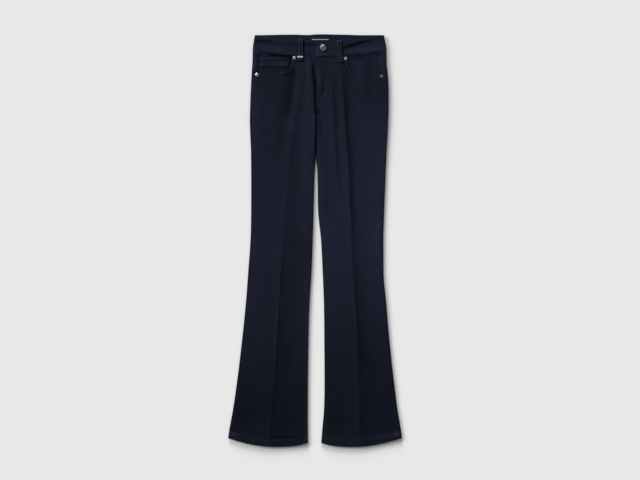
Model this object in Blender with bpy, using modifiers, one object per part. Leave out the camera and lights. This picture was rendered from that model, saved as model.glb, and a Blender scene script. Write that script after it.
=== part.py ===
"""Flared stretch-denim jeans, laid flat with the front up.

The waist points to +Y, the wearer's right leg lies towards -X, and the underside rests on Z = 0.
Sizes are in millimetres and become metres where a mesh is made. "Down" is a distance along the garment,
measured from the top edge of the back waistband towards the hems.
"""

import math
from collections import namedtuple

import bmesh
import bpy
import numpy as np

MM = 0.001

# Driving sizes
LENGTH = 1090.5  # top edge of the waistband to the lowest point of the hems
CLOTH = 1.2  # one layer of denim
BAND = 1.9  # waistband: outer strip, interlining and inner strip
TRIM = 1.2  # back pockets and back belt loops
SEAM_GAP = 0.3  # clearance between neighbouring pieces
ROLL = 3.0  # width over which the cloth curls round at a side seam or an inside leg seam
RIM = 0.7  # upright strip of cloth at a curled edge, next to its seam
SEAM_SPREAD = 0.21  # front and back each stand this far from the line of the seam between them
CROTCH = 207.0  # down

# Outline of the laid garment. Above the crotch both inside edges are the centre-front seam.
Section = namedtuple("Section", "down right_side right_inside left_inside left_side")
SECTIONS = (
    Section(0, -159.5, -8.0, -8.0, 182.3),
    Section(27, -163.8, -8.0, -8.0, 187.9),
    Section(39, -165.1, -8.0, -8.0, 189.5),
    Section(55, -164.4, -7.8, -7.8, 188.6),
    Section(120, -168.8, -2.4, -2.4, 194.0),
    Section(173, -171.2, 1.5, 1.5, 194.8),
    Section(CROTCH, -172.2, 2.8, 3.8, 194.2),
    Section(226, -172.6, 3.2, 4.2, 193.5),
    Section(265, -171.3, 3.0, 4.2, 191.8),
    Section(305, -169.7, 1.2, 4.4, 189.4),
    Section(345, -169.2, -0.5, 5.8, 187.6),
    Section(383, -169.0, -1.8, 6.8, 186.0),
    Section(464, -169.1, -4.1, 8.0, 183.0),
    Section(544, -171.0, -6.4, 16.0, 180.7),
    Section(623, -175.9, -9.6, 20.0, 181.0),
    Section(703, -182.7, -14.4, 23.3, 187.9),
    Section(809, -193.4, -17.7, 24.6, 197.1),
    Section(915, -206.2, -19.0, 25.2, 208.8),
    Section(994, -217.6, -19.4, 23.6, 218.9),
    Section(1047, -227.2, -19.2, 19.0, 227.9),
    Section(LENGTH, -233.0, -18.4, 15.6, 233.0),
)

# Heights of the laid garment: the outer face of the back, the seams at the curled edges, and the front's outer
# face across each leg. Near is just inside the edge towards the wearer's right, flat a third of the way on to
# the pressed crease, belly half-way from the crease to the other edge, and far just inside that edge.
Profile = namedtuple("Profile", "down back seam near flat crease belly far")
PROFILES = (
    Profile(0, 1.5, 4.3, 7.3, 7.3, 7.3, 7.3, 7.3),
    Profile(118, 1.5, 4.3, 7.2, 7.3, 7.3, 7.2, 7.3),
    Profile(180, 1.5, 4.2, 6.9, 7.1, 7.2, 6.5, 7.1),
    Profile(CROTCH, 1.5, 4.1, 6.6, 7.0, 7.1, 6.3, 7.0),
    Profile(250, 1.5, 3.9, 6.1, 6.8, 7.0, 5.9, 6.8),
    Profile(295, 1.5, 3.7, 5.7, 6.4, 6.7, 5.3, 6.5),
    Profile(350, 0.0, 3.1, 5.2, 5.9, 6.2, 4.4, 6.1),
    Profile(464, 0.0, 3.0, 5.0, 5.5, 5.8, 4.0, 5.9),
    Profile(703, 0.0, 3.0, 4.9, 5.3, 5.7, 3.8, 5.7),
    Profile(915, 0.0, 3.0, 4.8, 5.2, 5.6, 4.0, 5.5),
    Profile(LENGTH, 0.0, 3.0, 4.8, 5.0, 5.3, 4.3, 5.2),
)

# The pressed crease down the front of each leg, and how high its narrow ridge stands above the leg's form.
CREASE_POWER = 1.6  # the higher, the sharper its foot
Crease = namedtuple("Crease", "down right left right_lift left_lift")
CREASES = (
    Crease(0, -30.0, 68.0, 0.0, 0.0),
    Crease(90, -30.0, 68.0, 0.0, 0.0),
    Crease(124, -33.0, 74.0, 0.3, 1.4),
    Crease(158, -38.4, 79.0, 0.6, 1.9),
    Crease(185, -43.2, 80.8, 0.6, 2.0),
    Crease(219, -50.4, 82.2, 0.7, 1.9),
    Crease(251, -56.0, 84.3, 0.7, 1.7),
    Crease(291, -61.5, 88.0, 0.6, 1.5),
    Crease(330, -64.5, 91.4, 0.6, 1.4),
    Crease(383, -68.5, 94.0, 0.5, 1.4),
    Crease(436, -74.0, 96.0, 0.5, 1.3),
    Crease(503, -80.0, 97.6, 0.4, 1.1),
    Crease(569, -85.0, 99.8, 0.6, 0.7),
    Crease(635, -88.5, 103.6, 0.7, 0.6),
    Crease(701, -93.0, 107.0, 0.7, 0.6),
    Crease(768, -97.8, 110.6, 0.6, 0.6),
    Crease(834, -102.0, 112.6, 0.5, 0.5),
    Crease(900, -106.2, 114.0, 0.4, 0.3),
    Crease(966, -111.2, 115.3, 0.4, 0.3),
    Crease(1033, -116.5, 116.8, 0.4, 0.4),
    Crease(LENGTH, -120.0, 118.0, 0.4, 0.4),
)
CREASE_BEFORE = 13.0  # how far its ridge runs out towards the wearer's right
CREASE_AFTER = 7.0  # and towards the wearer's left, where it falls off more steeply

# The largest soft folds of the front: from one end to the other, half-widths towards the wearer's right and
# left of it, and height (a trough is minus).
Fold = namedtuple("Fold", "x0 down0 x1 down1 before after height")
FOLDS = (
    Fold(-58.0, 112.0, -101.0, 340.0, 10.0, 7.0, -1.4),
    Fold(42.5, 100.0, 61.0, 395.0, 16.0, 6.0, 1.1),
    Fold(124.0, 100.0, 129.0, 225.0, 14.0, 14.0, 0.7),
    Fold(30.0, 163.0, 6.0, 204.0, 7.0, 4.0, -0.6),
    Fold(40.0, 178.0, 14.0, 226.0, 8.0, 6.0, 0.6),
    Fold(-118.0, 560.0, -150.0, 720.0, 22.0, 22.0, 0.5),
    Fold(132.0, 520.0, 165.0, 700.0, 22.0, 22.0, 0.5),
)

# Waist, yoke and hem lines
WAIST_X = 11.4  # middle of the waist
WAIST_HALF = 173.0
BAND_TOP = 2.0  # front waistband's top edge at the sides, down
BAND_TOP_DIP = 12.5  # how much lower it is at the middle
BAND_TOP_POWER = 1.5
BAND_FOOT = 39.0
BAND_FOOT_DIP = 16.0
BAND_FOOT_POWER = 3
BACK_BAND_FOOT = 38.5
YOKE_FOOT = 78.0  # at the side seams
YOKE_DROP = 30.0  # how much lower the yoke seam is at the centre back
HEM_LOWEST = 0.42  # share of the leg's width, from the inside leg seam
HEM_SIDE_RISE = 24.5
HEM_SIDE_POWER = 1.8
HEM_INSIDE_RISE = 11.0
HEM_INSIDE_POWER = 3
HEM_DEPTH = 20.0
HEM_STEP = 0.7  # the turned-up hem stands this much prouder
HEM_STEP_RUN = 1.0

# Fly: the left front laps over the right front
FLY_LAP = 5.0
FLY_LAP_END = 186.0
FLY_SHORT = 0.6  # how far the right front stops short of the left one below the lap
FLY_LIFT = 0.6
FLY_DIP = 1.4
FLY_WIDTH = 38.0  # the left front rises over this much
FLY_GROOVE = 6.0  # and the right front sinks over this much
FLY_FADE = 16.0  # the fly's height fades out over this much, above the crotch

# Waistband ends: the left end laps over the right one
TAB_END = 4.8
UNDERLAP = 29.0
BAND_PROUD = 0.5  # the waistband stands this much above the fronts
BAND_COLUMNS = {  # x of the columns of each front piece, from its end to its curled side
    "right": (TAB_END + UNDERLAP, 18, 2, -12, -28, -60, -95, -130),
    "left": (TAB_END, 20, 34, 46, 58, 90, 120, 155),
}
BACK_BAND_COLUMNS = {"right": (-20, -90), "left": (45, 115)}
TAB_LIFT = 1.1  # the left end rises this much over the right one
TAB_LIFT_RUN = 20.0
TAB_DIP = 1.2  # and the right one sinks this much
TAB_DIP_RUN = 30.0

# Scoop pockets. A mouth is a curve from the waistband down and out to a level edge, which runs to the side
# seam. Reaches are measured in from the side seam.
MOUTH_TOP = (107.0, 46.0)
MOUTH_TURN = (103.0, 97.0)
MOUTH_LEVEL = 60.0
MOUTH_FOOT = {"right": 99.5, "left": 104.5}
MOUTH_BEYOND = 260.0  # the mouth is cut out to here, clear of the side seam
MOUTH_HEIGHTS = (-5.0, 20.0)
FACING_DEPTH = {"right": 3.0, "left": 2.0}  # below the front's outer face
FACING_AT_BAND = 1.5
FACING_REACH = 122.0
FACING_TUCK = 16.0  # how far the facing runs on under the front, below the mouth
FACING_FLUSH = 3.0  # reach over which the facing is as high as the front
FACING_SLOPE = 8.0
FACING_BAND_RUN = 11.0  # below the waistband the facing sinks to its full depth over this much
FACING_NOTCH = 12.4  # nearer the side seam than this it ends at the mouth's level edge
FACING_COLUMNS = (FACING_REACH, 98, 74, 50, 30, 18, 14, FACING_NOTCH, 9.5, 7, 5)  # reaches
COIN_REACH = (20.0, 100.0)
COIN_DOWN = (68.0, 112.0)

# Hardware and trims
BUTTON = (21.4, 33.6)
BUTTON_PROFILE = (
    (0, 2.9), (3.6, 2.8), (5.2, 2.4), (5.8, 2.0), (6.4, 2.2), (7.6, 2.4),
    (8.3, 1.9), (8.5, 1.1), (8.2, 0.3), (7.4, 0), (0, 0),
)  # radius and height, from the middle of the face round to the middle of the foot
RIVET_PROFILE = ((0, 1.9), (0.9, 1.8), (1.4, 1.0), (2.8, 0.95), (3.9, 0.7), (4.4, 0.3), (4.2, 0), (0, 0))
RIVETS = {
    "rivet_right_inner": (-54.5, 61.0),
    "rivet_right_outer": (-154.2, 105.0),
    "rivet_left_inner": (81.8, 62.8),
    "rivet_left_outer": (176.8, 110.0),
}
LOOP_WIDTH = 11.5
LOOP_CLOTH = 1.15
LOOP_ARCH = 0.5  # how far the middle of a loop stands off the band
LOOP_EDGE_DROP = 0.15  # its folded edges are this much lower than its middle
LOOP_COLUMNS = (-0.5, -0.25, 0.25, 0.5)  # places across, as shares of the width
LOOP_ROWS = 7
FRONT_LOOPS = {
    "right": ((-37.4, 11.0), (-37.4, 65.5)),
    "left": ((63.3, 14.0), (67.6, 70.8)),
}
BACK_LOOPS = {"right": -84.0, "centre": WAIST_X, "left": 107.0}
BACK_LOOP_DOWN = (1.0, 52.0)
LOOP_TAB_X = (-46.8, -32.0)
LOOP_TAB_DOWN = (55.0, 60.8)
LOOP_TAB_CLOTH = 0.6
LABEL_X = (-8.0, 34.5)
LABEL_DOWN = (5.9, 12.2)
LABEL_CLOTH = 0.5
BACK_POCKET_X = {"right": -82.0, "left": 105.0}
BACK_POCKET_TOP = 124.0
BACK_POCKET_HALF = (67.0, 59.0)  # at the top and at the foot of the sides
BACK_POCKET_SIDE = 124.0
BACK_POCKET_POINT = 20.0
ZIP_X = (-14.0, 26.0)
ZIP_DOWN = (60.0, 182.0)
ZIP_HEIGHTS = (3.0, 3.9)

TURNED_STEPS = 16


def read(rows, field, down):
    """One column of a table at distances down the garment, on a smooth curve that never overshoots a row."""
    at = np.array([row.down for row in rows], float)
    value = np.array([getattr(row, field) for row in rows], float)
    rise = np.diff(value) / np.diff(at)
    before, after = np.append(rise[0], rise), np.append(rise, rise[-1])
    limit = 3 * np.minimum(np.abs(before), np.abs(after)) * (before * after > 0)
    slope = np.clip(np.gradient(value, at), -limit, limit)
    down = np.clip(down, at[0], at[-1])
    first = np.clip(np.searchsorted(at, down, side="right") - 1, 0, len(at) - 2)
    span = at[first + 1] - at[first]
    t = (down - at[first]) / span
    start = (1 + 2 * t) * (1 - t) ** 2 * value[first] + t * (1 - t) ** 2 * span * slope[first]
    end = t**2 * (3 - 2 * t) * value[first + 1] - t**2 * (1 - t) * span * slope[first + 1]
    return start + end


def ease(value):
    """0 below nought, 1 above one, and a smooth step between."""
    value = np.clip(value, 0.0, 1.0)
    return value * value * (3 - 2 * value)


def outward(leg):
    return -1.0 if leg == "right" else 1.0


def side_x(leg, down):
    return read(SECTIONS, leg + "_side", down)


def inside_x(leg, down):
    return read(SECTIONS, leg + "_inside", down)


def waist_share(x):
    """0 at the middle of the waist and 1 at its sides."""
    return np.clip(np.abs(x - WAIST_X) / WAIST_HALF, 0.0, 1.0)


def band_top(x):
    return BAND_TOP + BAND_TOP_DIP * (1 - waist_share(x) ** BAND_TOP_POWER)


def band_foot(x):
    return BAND_FOOT + BAND_FOOT_DIP * (1 - waist_share(x) ** BAND_FOOT_POWER)


def yoke_foot(x):
    return YOKE_FOOT + YOKE_DROP * (1 - waist_share(x))


def hem_line(leg, x):
    """The hem's distance down at x: lowest near the middle of the leg, higher at both seams."""
    inside = inside_x(leg, LENGTH)
    share = np.clip((x - inside) / (side_x(leg, LENGTH) - inside), 0.0, 1.0)
    to_inside = np.clip((HEM_LOWEST - share) / HEM_LOWEST, 0.0, 1.0)
    to_side = np.clip((share - HEM_LOWEST) / (1 - HEM_LOWEST), 0.0, 1.0)
    rise = HEM_INSIDE_RISE * to_inside**HEM_INSIDE_POWER + HEM_SIDE_RISE * to_side**HEM_SIDE_POWER
    return LENGTH - rise


def fold_height(x, down):
    """The soft folds at a point, each fading out at its ends and, unevenly, to its two sides."""
    total = 0.0
    for fold in FOLDS:
        run_x, run_down = fold.x1 - fold.x0, fold.down1 - fold.down0
        length = math.hypot(run_x, run_down)
        along = ((x - fold.x0) * run_x + (down - fold.down0) * run_down) / length**2
        away = ((x - fold.x0) * run_down - (down - fold.down0) * run_x) / length
        width = np.where(away < 0, fold.before, fold.after)
        fade = ease(4 * along) * ease(4 * (1 - along))
        total = total + fold.height * fade * np.exp(-((away / width) ** 2))
    return total


def leg_height(leg, x, down):
    """A leg's form across: it rises from its near edge to the crease and sags in a belly before its far edge."""
    inside, side = inside_x(leg, down), side_x(leg, down)
    start, end = np.minimum(inside, side) + ROLL, np.maximum(inside, side) - ROLL
    crease = read(CREASES, leg, down)
    near, flat, top, belly, far = (
        read(PROFILES, field, down) for field in ("near", "flat", "crease", "belly", "far")
    )
    share = np.clip((x - start) / (crease - start), 0.0, 1.0)
    before = near + (flat - near) * ease(3 * share) + (top - flat) * share**3
    share = np.clip((end - x) / (end - crease), 0.0, 1.0)
    after = far + (belly - far) * ease(2 * share)
    after = after + (top - belly) * np.clip(2 * share - 1, 0.0, 1.0) ** CREASE_POWER
    return np.where(x < crease, before, after)


def crease_lift(leg, x, down):
    """The narrow ridge of the pressed crease."""
    away = x - read(CREASES, leg, down)
    width = np.where(away < 0, CREASE_BEFORE, CREASE_AFTER)
    return read(CREASES, leg + "_lift", down) * np.exp(-np.abs(away) / width)


def fly_height(leg, x, down):
    """At the fly the left front stands up, and the right front sinks just before it runs under."""
    away = (x - inside_x("left", down)) * outward(leg)
    if leg == "left":
        height = FLY_LIFT * ease((FLY_WIDTH - away) / FLY_WIDTH)
    else:
        height = -FLY_DIP * np.exp(-((np.maximum(away, 0.0) / FLY_GROOVE) ** 2))
    return height * ease((CROTCH - down) / FLY_FADE)


def front_height(leg, x, down):
    """Height of the front's outer face, between the leg's two curled edges."""
    hem = ease((HEM_DEPTH - (hem_line(leg, x) - down)) / HEM_STEP_RUN)
    folds = (fold_height(x, down) + crease_lift(leg, x, down)) * (1 - hem)
    return leg_height(leg, x, down) + fly_height(leg, x, down) + folds + HEM_STEP * hem


def back_height(leg, x, down):
    return read(PROFILES, "back", down) + 0.0 * x


def facing_height(leg, x, down):
    """The pocket facing: below the uncreased front's face, but level with it along the side seam."""
    reach = np.abs(side_x(leg, down) - x)
    below_band = ease((down - band_foot(x)) / FACING_BAND_RUN)
    depth = FACING_AT_BAND + (FACING_DEPTH[leg] - FACING_AT_BAND) * below_band
    depth = depth * ease((reach - FACING_FLUSH) / FACING_SLOPE)
    return front_height(leg, x, down) - crease_lift(leg, x, down) - depth


def coin_height(leg, x, down):
    return front_height(leg, x, down) - FACING_DEPTH[leg] + CLOTH + SEAM_GAP


def band_height(leg, x, down):
    """The front waistband: its left end rises over the right end, which sinks under it."""
    level = read(PROFILES, "far", down) + BAND_PROUD
    if leg == "left":
        return level + TAB_LIFT * ease((TAB_END + UNDERLAP + TAB_LIFT_RUN - x) / TAB_LIFT_RUN)
    return level - TAB_DIP * ease((x - TAB_END + TAB_DIP_RUN) / TAB_DIP_RUN)


def curled(down):
    """How far the inside edge is curled under: not at all along the centre seam, fully down the leg."""
    return ease((down - (CROTCH - 5)) / 10)


def right_lap(down):
    """The right front runs on under the left one as far as the fly goes, then stops short of it."""
    lap = FLY_LAP * ease((FLY_LAP_END - down) / 8)
    short = FLY_SHORT * ease((down - FLY_LAP_END + 4) / 8) * ease((CROTCH + 12 - down) / 12)
    return inside_x("right", down) + lap - short


def back_centre(leg):
    """The centre-back seam runs straight from the middle of the waist to the crotch."""

    def edge(down):
        share = np.clip(down / CROTCH, 0.0, 1.0)
        seam = WAIST_X + (inside_x("right", CROTCH) - WAIST_X) * share + outward(leg) * SEAM_GAP
        return np.where(down < CROTCH, seam, inside_x(leg, down))

    return edge


# Columns of a panel. "inside" and "side" are places round a curled edge, given by the angle turned, 90 at the
# seam and 0 where the cloth lies flat; RIM_EDGE is the seam itself. "inner" and "outer" are shares of the way
# from a curled edge to the crease, "reach" a distance from the side seam and "x" a fixed place.
RIM_EDGE = 120
CURL = (RIM_EDGE, 90, 60, 30, 0)
FLAT_CURL = 1.15
INSIDE_CURL = [("inside", angle) for angle in CURL]
SIDE_CURL = [("side", angle) for angle in reversed(CURL)]
FRONT_COLUMNS = (
    INSIDE_CURL
    + [("inner", share) for share in (0.2, 0.45, 0.72, 0.9, 1.0)]
    + [("outer", share) for share in (0.9, 0.72, 0.45, 0.2)]
    + SIDE_CURL
)
BACK_COLUMNS = INSIDE_CURL + [("inner", 0.5), ("inner", 1.0), ("outer", 0.5)] + SIDE_CURL


def curl_offset(angle, amount):
    """How far in from the seam a place on a curled edge lies; uncurled, the places are evenly spread."""
    if angle == RIM_EDGE:
        return 0.0 * amount
    curled_in = ROLL * (1 - math.sin(math.radians(angle)))
    flat_in = ROLL * (1 - angle / 90 / FLAT_CURL)
    return amount * curled_in + (1 - amount) * flat_in


def curl_height(height, down, angle, amount, over):
    """The height of a place on a curled edge, between the flat cloth's height and the seam's."""
    seam = read(PROFILES, "seam", down) + over * SEAM_SPREAD
    if angle == RIM_EDGE:
        return height + amount * (seam - height)
    drop = 1 - math.cos(math.radians(angle))
    return height + amount * drop * (seam + over * RIM - height)


def panel(leg, columns, down_at, height_at, inside=None, over=1):
    """A grid of (x, down, height) points over one leg's half of the garment.

    down_at gives each row's distance down at x, and over is 1 for the front and -1 for the back.
    """
    inside = inside or (lambda down: inside_x(leg, down))
    toward = outward(leg)
    grid = []
    for kind, place in columns:
        down = down_at(read(CREASES, leg, 0.0))
        for _ in range(6):  # where a row slopes, x and down settle on each other
            start = inside(down) + toward * ROLL
            end = side_x(leg, down) - toward * ROLL
            crease = read(CREASES, leg, down)
            x = {
                "inside": lambda: inside(down) + toward * curl_offset(place, curled(down)),
                "inner": lambda: start + (crease - start) * place,
                "outer": lambda: end + (crease - end) * place,
                "reach": lambda: side_x(leg, down) - toward * place,
                "x": lambda: place + 0.0 * down,
                "side": lambda: side_x(leg, down) - toward * curl_offset(place, 1.0),
            }[kind]()
            down = down_at(x)
        if kind == "side":
            height = curl_height(height_at(leg, end, down), down, place, 1.0, over)
        elif kind == "inside":
            height = curl_height(height_at(leg, x, down), down, place, curled(down), over)
        else:
            height = height_at(leg, x, down)
        grid.append(np.stack([x, down, height], axis=-1))
    return np.stack(grid, axis=1)


def rows_between(top, foot, count):
    """Rows spread evenly between two lines that are functions of x."""
    shares = np.linspace(0, 1, count)
    return lambda x: top(x) + (foot(x) - top(x)) * shares


LEG_ROWS = np.array(
    (55, 75, 100, 125, 150, 172, 184, 192, 198, 203, 207, 211, 216, 228, 245, 270, 298, 326)
    + (360, 405, 450, 500, 550, 600, 650, 700, 755, 810, 865, 920, 970, 1015, 1050, 1070.5)
)


def leg_rows(leg, top, rows=LEG_ROWS):
    """Rows of a panel from its top seam to the hem, with two of them at the hem's step and edge."""
    shares = np.append((rows - rows[0]) / (rows[-1] - rows[0]), (1.0, 1.0))
    past = np.append(0.0 * rows, (HEM_STEP_RUN, HEM_DEPTH))
    return lambda x: top(x) + (hem_line(leg, x) - HEM_DEPTH - top(x)) * shares + past


def mouth(leg):
    """The pocket mouth as (reach, down) points, on one curve and a level run past the side seam."""
    foot = MOUTH_FOOT[leg]
    corners = np.array([MOUTH_TOP, MOUTH_TURN, (MOUTH_TURN[0] - 5, foot), (MOUTH_LEVEL, foot)])
    weights = ((1, 0, 0, 0), (0, 3, 0, 0), (0, 0, 3, 0), (0, 0, 0, 1))
    points = []
    for t in np.linspace(0, 1, 11):
        powers = np.array([(1 - t) ** 3, t * (1 - t) ** 2, t * t * (1 - t), t**3])
        points.append(tuple(np.array(weights) @ powers @ corners))
    return points + [(-10.0, foot)]


def material(name, colour, roughness, metallic=0.0):
    made = bpy.data.materials.new(name)
    made.use_nodes = True
    shader = made.node_tree.nodes["Principled BSDF"]
    shader.inputs["Base Color"].default_value = (*colour, 1.0)
    shader.inputs["Roughness"].default_value = roughness
    shader.inputs["Metallic"].default_value = metallic
    return made


def placed(obj, made_of, collection):
    obj.data.materials.append(made_of)
    collection.objects.link(obj)
    if obj.type == "MESH":
        obj.data.shade_smooth()
        obj.data.set_sharp_from_angle(angle=math.radians(40))
    return obj


def cloth(name, grid, thickness, made_of, face_up=True):
    """A wall of cloth: a grid of (x, down, height) points is its outer face, and Solidify adds the wall."""
    rows, columns = grid.shape[:2]
    points = np.stack([grid[..., 0], LENGTH / 2 - grid[..., 1], grid[..., 2]], axis=-1) * MM
    faces = []
    for row in range(rows - 1):
        for column in range(columns - 1):
            first = row * columns + column
            faces.append((first, first + 1, first + columns + 1, first + columns))
    turn = np.cross(points[0, -1] - points[0, 0], points[-1, 0] - points[0, 0])[2]
    if (turn > 0) != face_up:
        faces = [face[::-1] for face in faces]
    mesh = bpy.data.meshes.new(name)
    mesh.from_pydata(points.reshape(-1, 3).tolist(), [], faces)
    obj = placed(bpy.data.objects.new(name, mesh), made_of, garment)
    wall = obj.modifiers.new("wall", "SOLIDIFY")
    wall.thickness = thickness * MM
    wall.offset = -1.0
    wall.use_even_offset = True
    wall.use_quality_normals = True
    return obj


def flat_piece(name, outline, low, high, made_of, collection=None):
    """A flat piece with upright edges: an outline of (x, down) points, filled and extruded."""
    curve = bpy.data.curves.new(name, "CURVE")
    curve.dimensions = "2D"
    curve.fill_mode = "BOTH"
    curve.extrude = (high - low) / 2 * MM
    spline = curve.splines.new("POLY")
    spline.points.add(len(outline) - 1)
    for point, (x, down) in zip(spline.points, outline):
        point.co = (x * MM, (LENGTH / 2 - down) * MM, 0.0, 1.0)
    spline.use_cyclic_u = True
    obj = bpy.data.objects.new(name, curve)
    obj.location.z = (low + high) / 2 * MM
    return placed(obj, made_of, collection or garment)


def rectangle(x, down):
    return [(x[0], down[0]), (x[1], down[0]), (x[1], down[1]), (x[0], down[1])]


def turned_piece(name, profile, x, down, base, made_of):
    """A piece turned about an upright axis, from (radius, height) points listed top to bottom."""
    points = [(radius * MM, 0.0, height * MM) for radius, height in profile]
    mesh = bpy.data.meshes.new(name)
    mesh.from_pydata(points, [(i, i + 1) for i in range(len(points) - 1)], [])
    obj = placed(bpy.data.objects.new(name, mesh), made_of, garment)
    obj.location = (x * MM, (LENGTH / 2 - down) * MM, base * MM)
    screw = obj.modifiers.new("turn", "SCREW")
    screw.steps = TURNED_STEPS
    screw.render_steps = TURNED_STEPS
    screw.use_merge_vertices = True
    screw.merge_threshold = 0.00001
    return obj


def cut(obj, cutter):
    """Takes a cutter, made from a curve, out of a piece."""
    view = bpy.context.evaluated_depsgraph_get()
    mesh = bpy.data.meshes.new_from_object(cutter.evaluated_get(view))
    solid = bpy.data.objects.new(cutter.name + "_solid", mesh)
    solid.matrix_world = cutter.matrix_world
    cutters.objects.link(solid)
    bpy.data.objects.remove(cutter)
    weld = bmesh.new()
    weld.from_mesh(mesh)
    bmesh.ops.remove_doubles(weld, verts=weld.verts, dist=0.00001)
    bmesh.ops.recalc_face_normals(weld, faces=weld.faces)
    weld.to_mesh(mesh)
    weld.free()
    solid.hide_render = True
    solid.display_type = "WIRE"
    boolean = obj.modifiers.new("cut", "BOOLEAN")
    boolean.operation = "DIFFERENCE"
    boolean.solver = "EXACT"
    boolean.object = solid


def make_fronts():
    """Front panels: flat at the fly, curled at the leg seams, with the pocket mouths cut away."""
    for leg in ("right", "left"):
        rows = leg_rows(leg, lambda x: band_foot(x) + SEAM_GAP)
        grid = panel(leg, FRONT_COLUMNS, rows, front_height, inside=right_lap if leg == "right" else None)
        front = cloth(f"front_panel_{leg}", grid, CLOTH, denim)
        outline = [(float(side_x(leg, down)) - outward(leg) * reach, down) for reach, down in mouth(leg)]
        beyond = outward(leg) * MOUTH_BEYOND
        outline += [(beyond, MOUTH_FOOT[leg]), (beyond, 0.0), (outline[0][0], 0.0)]
        cutter = flat_piece(f"mouth_{leg}", outline, *MOUTH_HEIGHTS, denim, cutters)
        bpy.context.view_layer.update()
        cut(front, cutter)


def make_backs():
    """Back panels and the yokes above them, flat on the ground but for their curled seams."""
    for leg in ("right", "left"):
        rows = leg_rows(leg, lambda x: yoke_foot(x) + SEAM_GAP, LEG_ROWS[2:])
        grid = panel(leg, BACK_COLUMNS, rows, back_height, inside=back_centre(leg), over=-1)
        cloth(f"back_panel_{leg}", grid, CLOTH, denim, face_up=False)
        rows = rows_between(lambda x: BACK_BAND_FOOT + 2 * SEAM_GAP + 0.0 * x, yoke_foot, 3)
        grid = panel(leg, BACK_COLUMNS, rows, back_height, inside=back_centre(leg), over=-1)
        cloth(f"back_yoke_{leg}", grid, CLOTH, denim, face_up=False)


def make_pockets():
    """Scoop-pocket facings, the coin pocket on the right one, and the patch pockets under the back."""
    for leg in ("right", "left"):
        foot = MOUTH_FOOT[leg]

        def facing_foot(x, leg=leg, foot=foot):
            reach = np.abs(side_x(leg, foot) - x)
            return foot - 0.5 + FACING_TUCK * ease((reach - FACING_NOTCH) / 1.6)

        columns = [("reach", reach) for reach in FACING_COLUMNS] + SIDE_CURL
        rows = rows_between(lambda x: band_foot(x) + 2 * SEAM_GAP, facing_foot, 7)
        grid = panel(leg, columns, rows, facing_height)
        cloth(f"pocket_facing_{leg}", grid, CLOTH, denim)
        x, top = BACK_POCKET_X[leg], BACK_POCKET_TOP
        wide, narrow = BACK_POCKET_HALF
        low = top + BACK_POCKET_SIDE
        outline = [(x - wide, top), (x + wide, top), (x + narrow, low), (x, low + BACK_POCKET_POINT)]
        flat_piece(f"back_pocket_{leg}", outline + [(x - narrow, low)], 0.0, TRIM, denim)
    columns = [("reach", reach) for reach in np.linspace(COIN_REACH[1], COIN_REACH[0], 6)]
    rows = rows_between(lambda x: COIN_DOWN[0] + 0.0 * x, lambda x: COIN_DOWN[1] + 0.0 * x, 4)
    cloth("coin_pocket", panel("right", columns, rows, coin_height), CLOTH, denim)


def make_waistband():
    """The waistband: two front pieces that lap at the button, and one back piece seen inside them."""
    rows = rows_between(band_top, band_foot, 4)
    for leg in ("right", "left"):
        columns = [("x", x) for x in BAND_COLUMNS[leg]] + SIDE_CURL
        cloth(f"waistband_front_{leg}", panel(leg, columns, rows, band_height), BAND, denim)
    rows = rows_between(lambda x: 0.0 * x, lambda x: BACK_BAND_FOOT + 0.0 * x, 3)
    halves = {}
    for leg in ("right", "left"):
        columns = [("x", x) for x in BACK_BAND_COLUMNS[leg]] + SIDE_CURL
        halves[leg] = panel(leg, columns, rows, back_height, over=-1)
    grid = np.concatenate([halves["right"][:, ::-1], halves["left"]], axis=1)
    cloth("waistband_back", grid, BAND, denim, face_up=False)


def make_loops():
    """Belt loops: two on the front, standing slightly off the band between their ends, and three behind."""
    under = float(read(PROFILES, "far", 0.0)) + BAND_PROUD + SEAM_GAP + LOOP_EDGE_DROP
    along = np.linspace(0, 1, LOOP_ROWS)[:, None]
    across = np.array(LOOP_COLUMNS)[None, :]
    for leg, ((head_x, head), (foot_x, foot)) in FRONT_LOOPS.items():
        x = head_x + (foot_x - head_x) * along + LOOP_WIDTH * across
        down = head + (foot - head) * along + 0.0 * across
        arch = LOOP_ARCH * np.sqrt(np.sin(math.pi * along))
        edge = LOOP_EDGE_DROP * (np.abs(across) == max(LOOP_COLUMNS))
        grid = np.stack([x, down, under + LOOP_CLOTH + arch - edge], axis=-1)
        cloth(f"belt_loop_front_{leg}", grid, LOOP_CLOTH, denim)
    for place, x in BACK_LOOPS.items():
        outline = rectangle((x - LOOP_WIDTH / 2, x + LOOP_WIDTH / 2), BACK_LOOP_DOWN)
        flat_piece(f"belt_loop_back_{place}", outline, 0.0, TRIM, denim)
    low = under + LOOP_CLOTH + LOOP_ARCH + SEAM_GAP
    flat_piece("loop_tab", rectangle(LOOP_TAB_X, LOOP_TAB_DOWN), low, low + LOOP_TAB_CLOTH, white_tape)


def make_inner_trims():
    """The woven label inside the back waistband, and the zip's tape and chain under the fly."""
    floor = float(read(PROFILES, "back", 0.0)) + BAND + SEAM_GAP
    flat_piece("waist_label", rectangle(LABEL_X, LABEL_DOWN), floor, floor + LABEL_CLOTH, green_tape)
    flat_piece("fly_zip", rectangle(ZIP_X, ZIP_DOWN), *ZIP_HEIGHTS, zip_tape)


def make_hardware():
    """The shank button on the left end of the waistband, and a rivet at both ends of each pocket mouth."""
    band = float(read(PROFILES, "far", 0.0)) + BAND_PROUD + SEAM_GAP
    turned_piece("waist_button", BUTTON_PROFILE, *BUTTON, band + TAB_LIFT, dark_metal)
    for name, (x, down) in RIVETS.items():
        base = band - (0.0 if name.endswith("inner") else BAND_PROUD)
        turned_piece(name, RIVET_PROFILE, x, down, base, silver_metal)


for old in list(bpy.data.objects):
    bpy.data.objects.remove(old)

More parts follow.
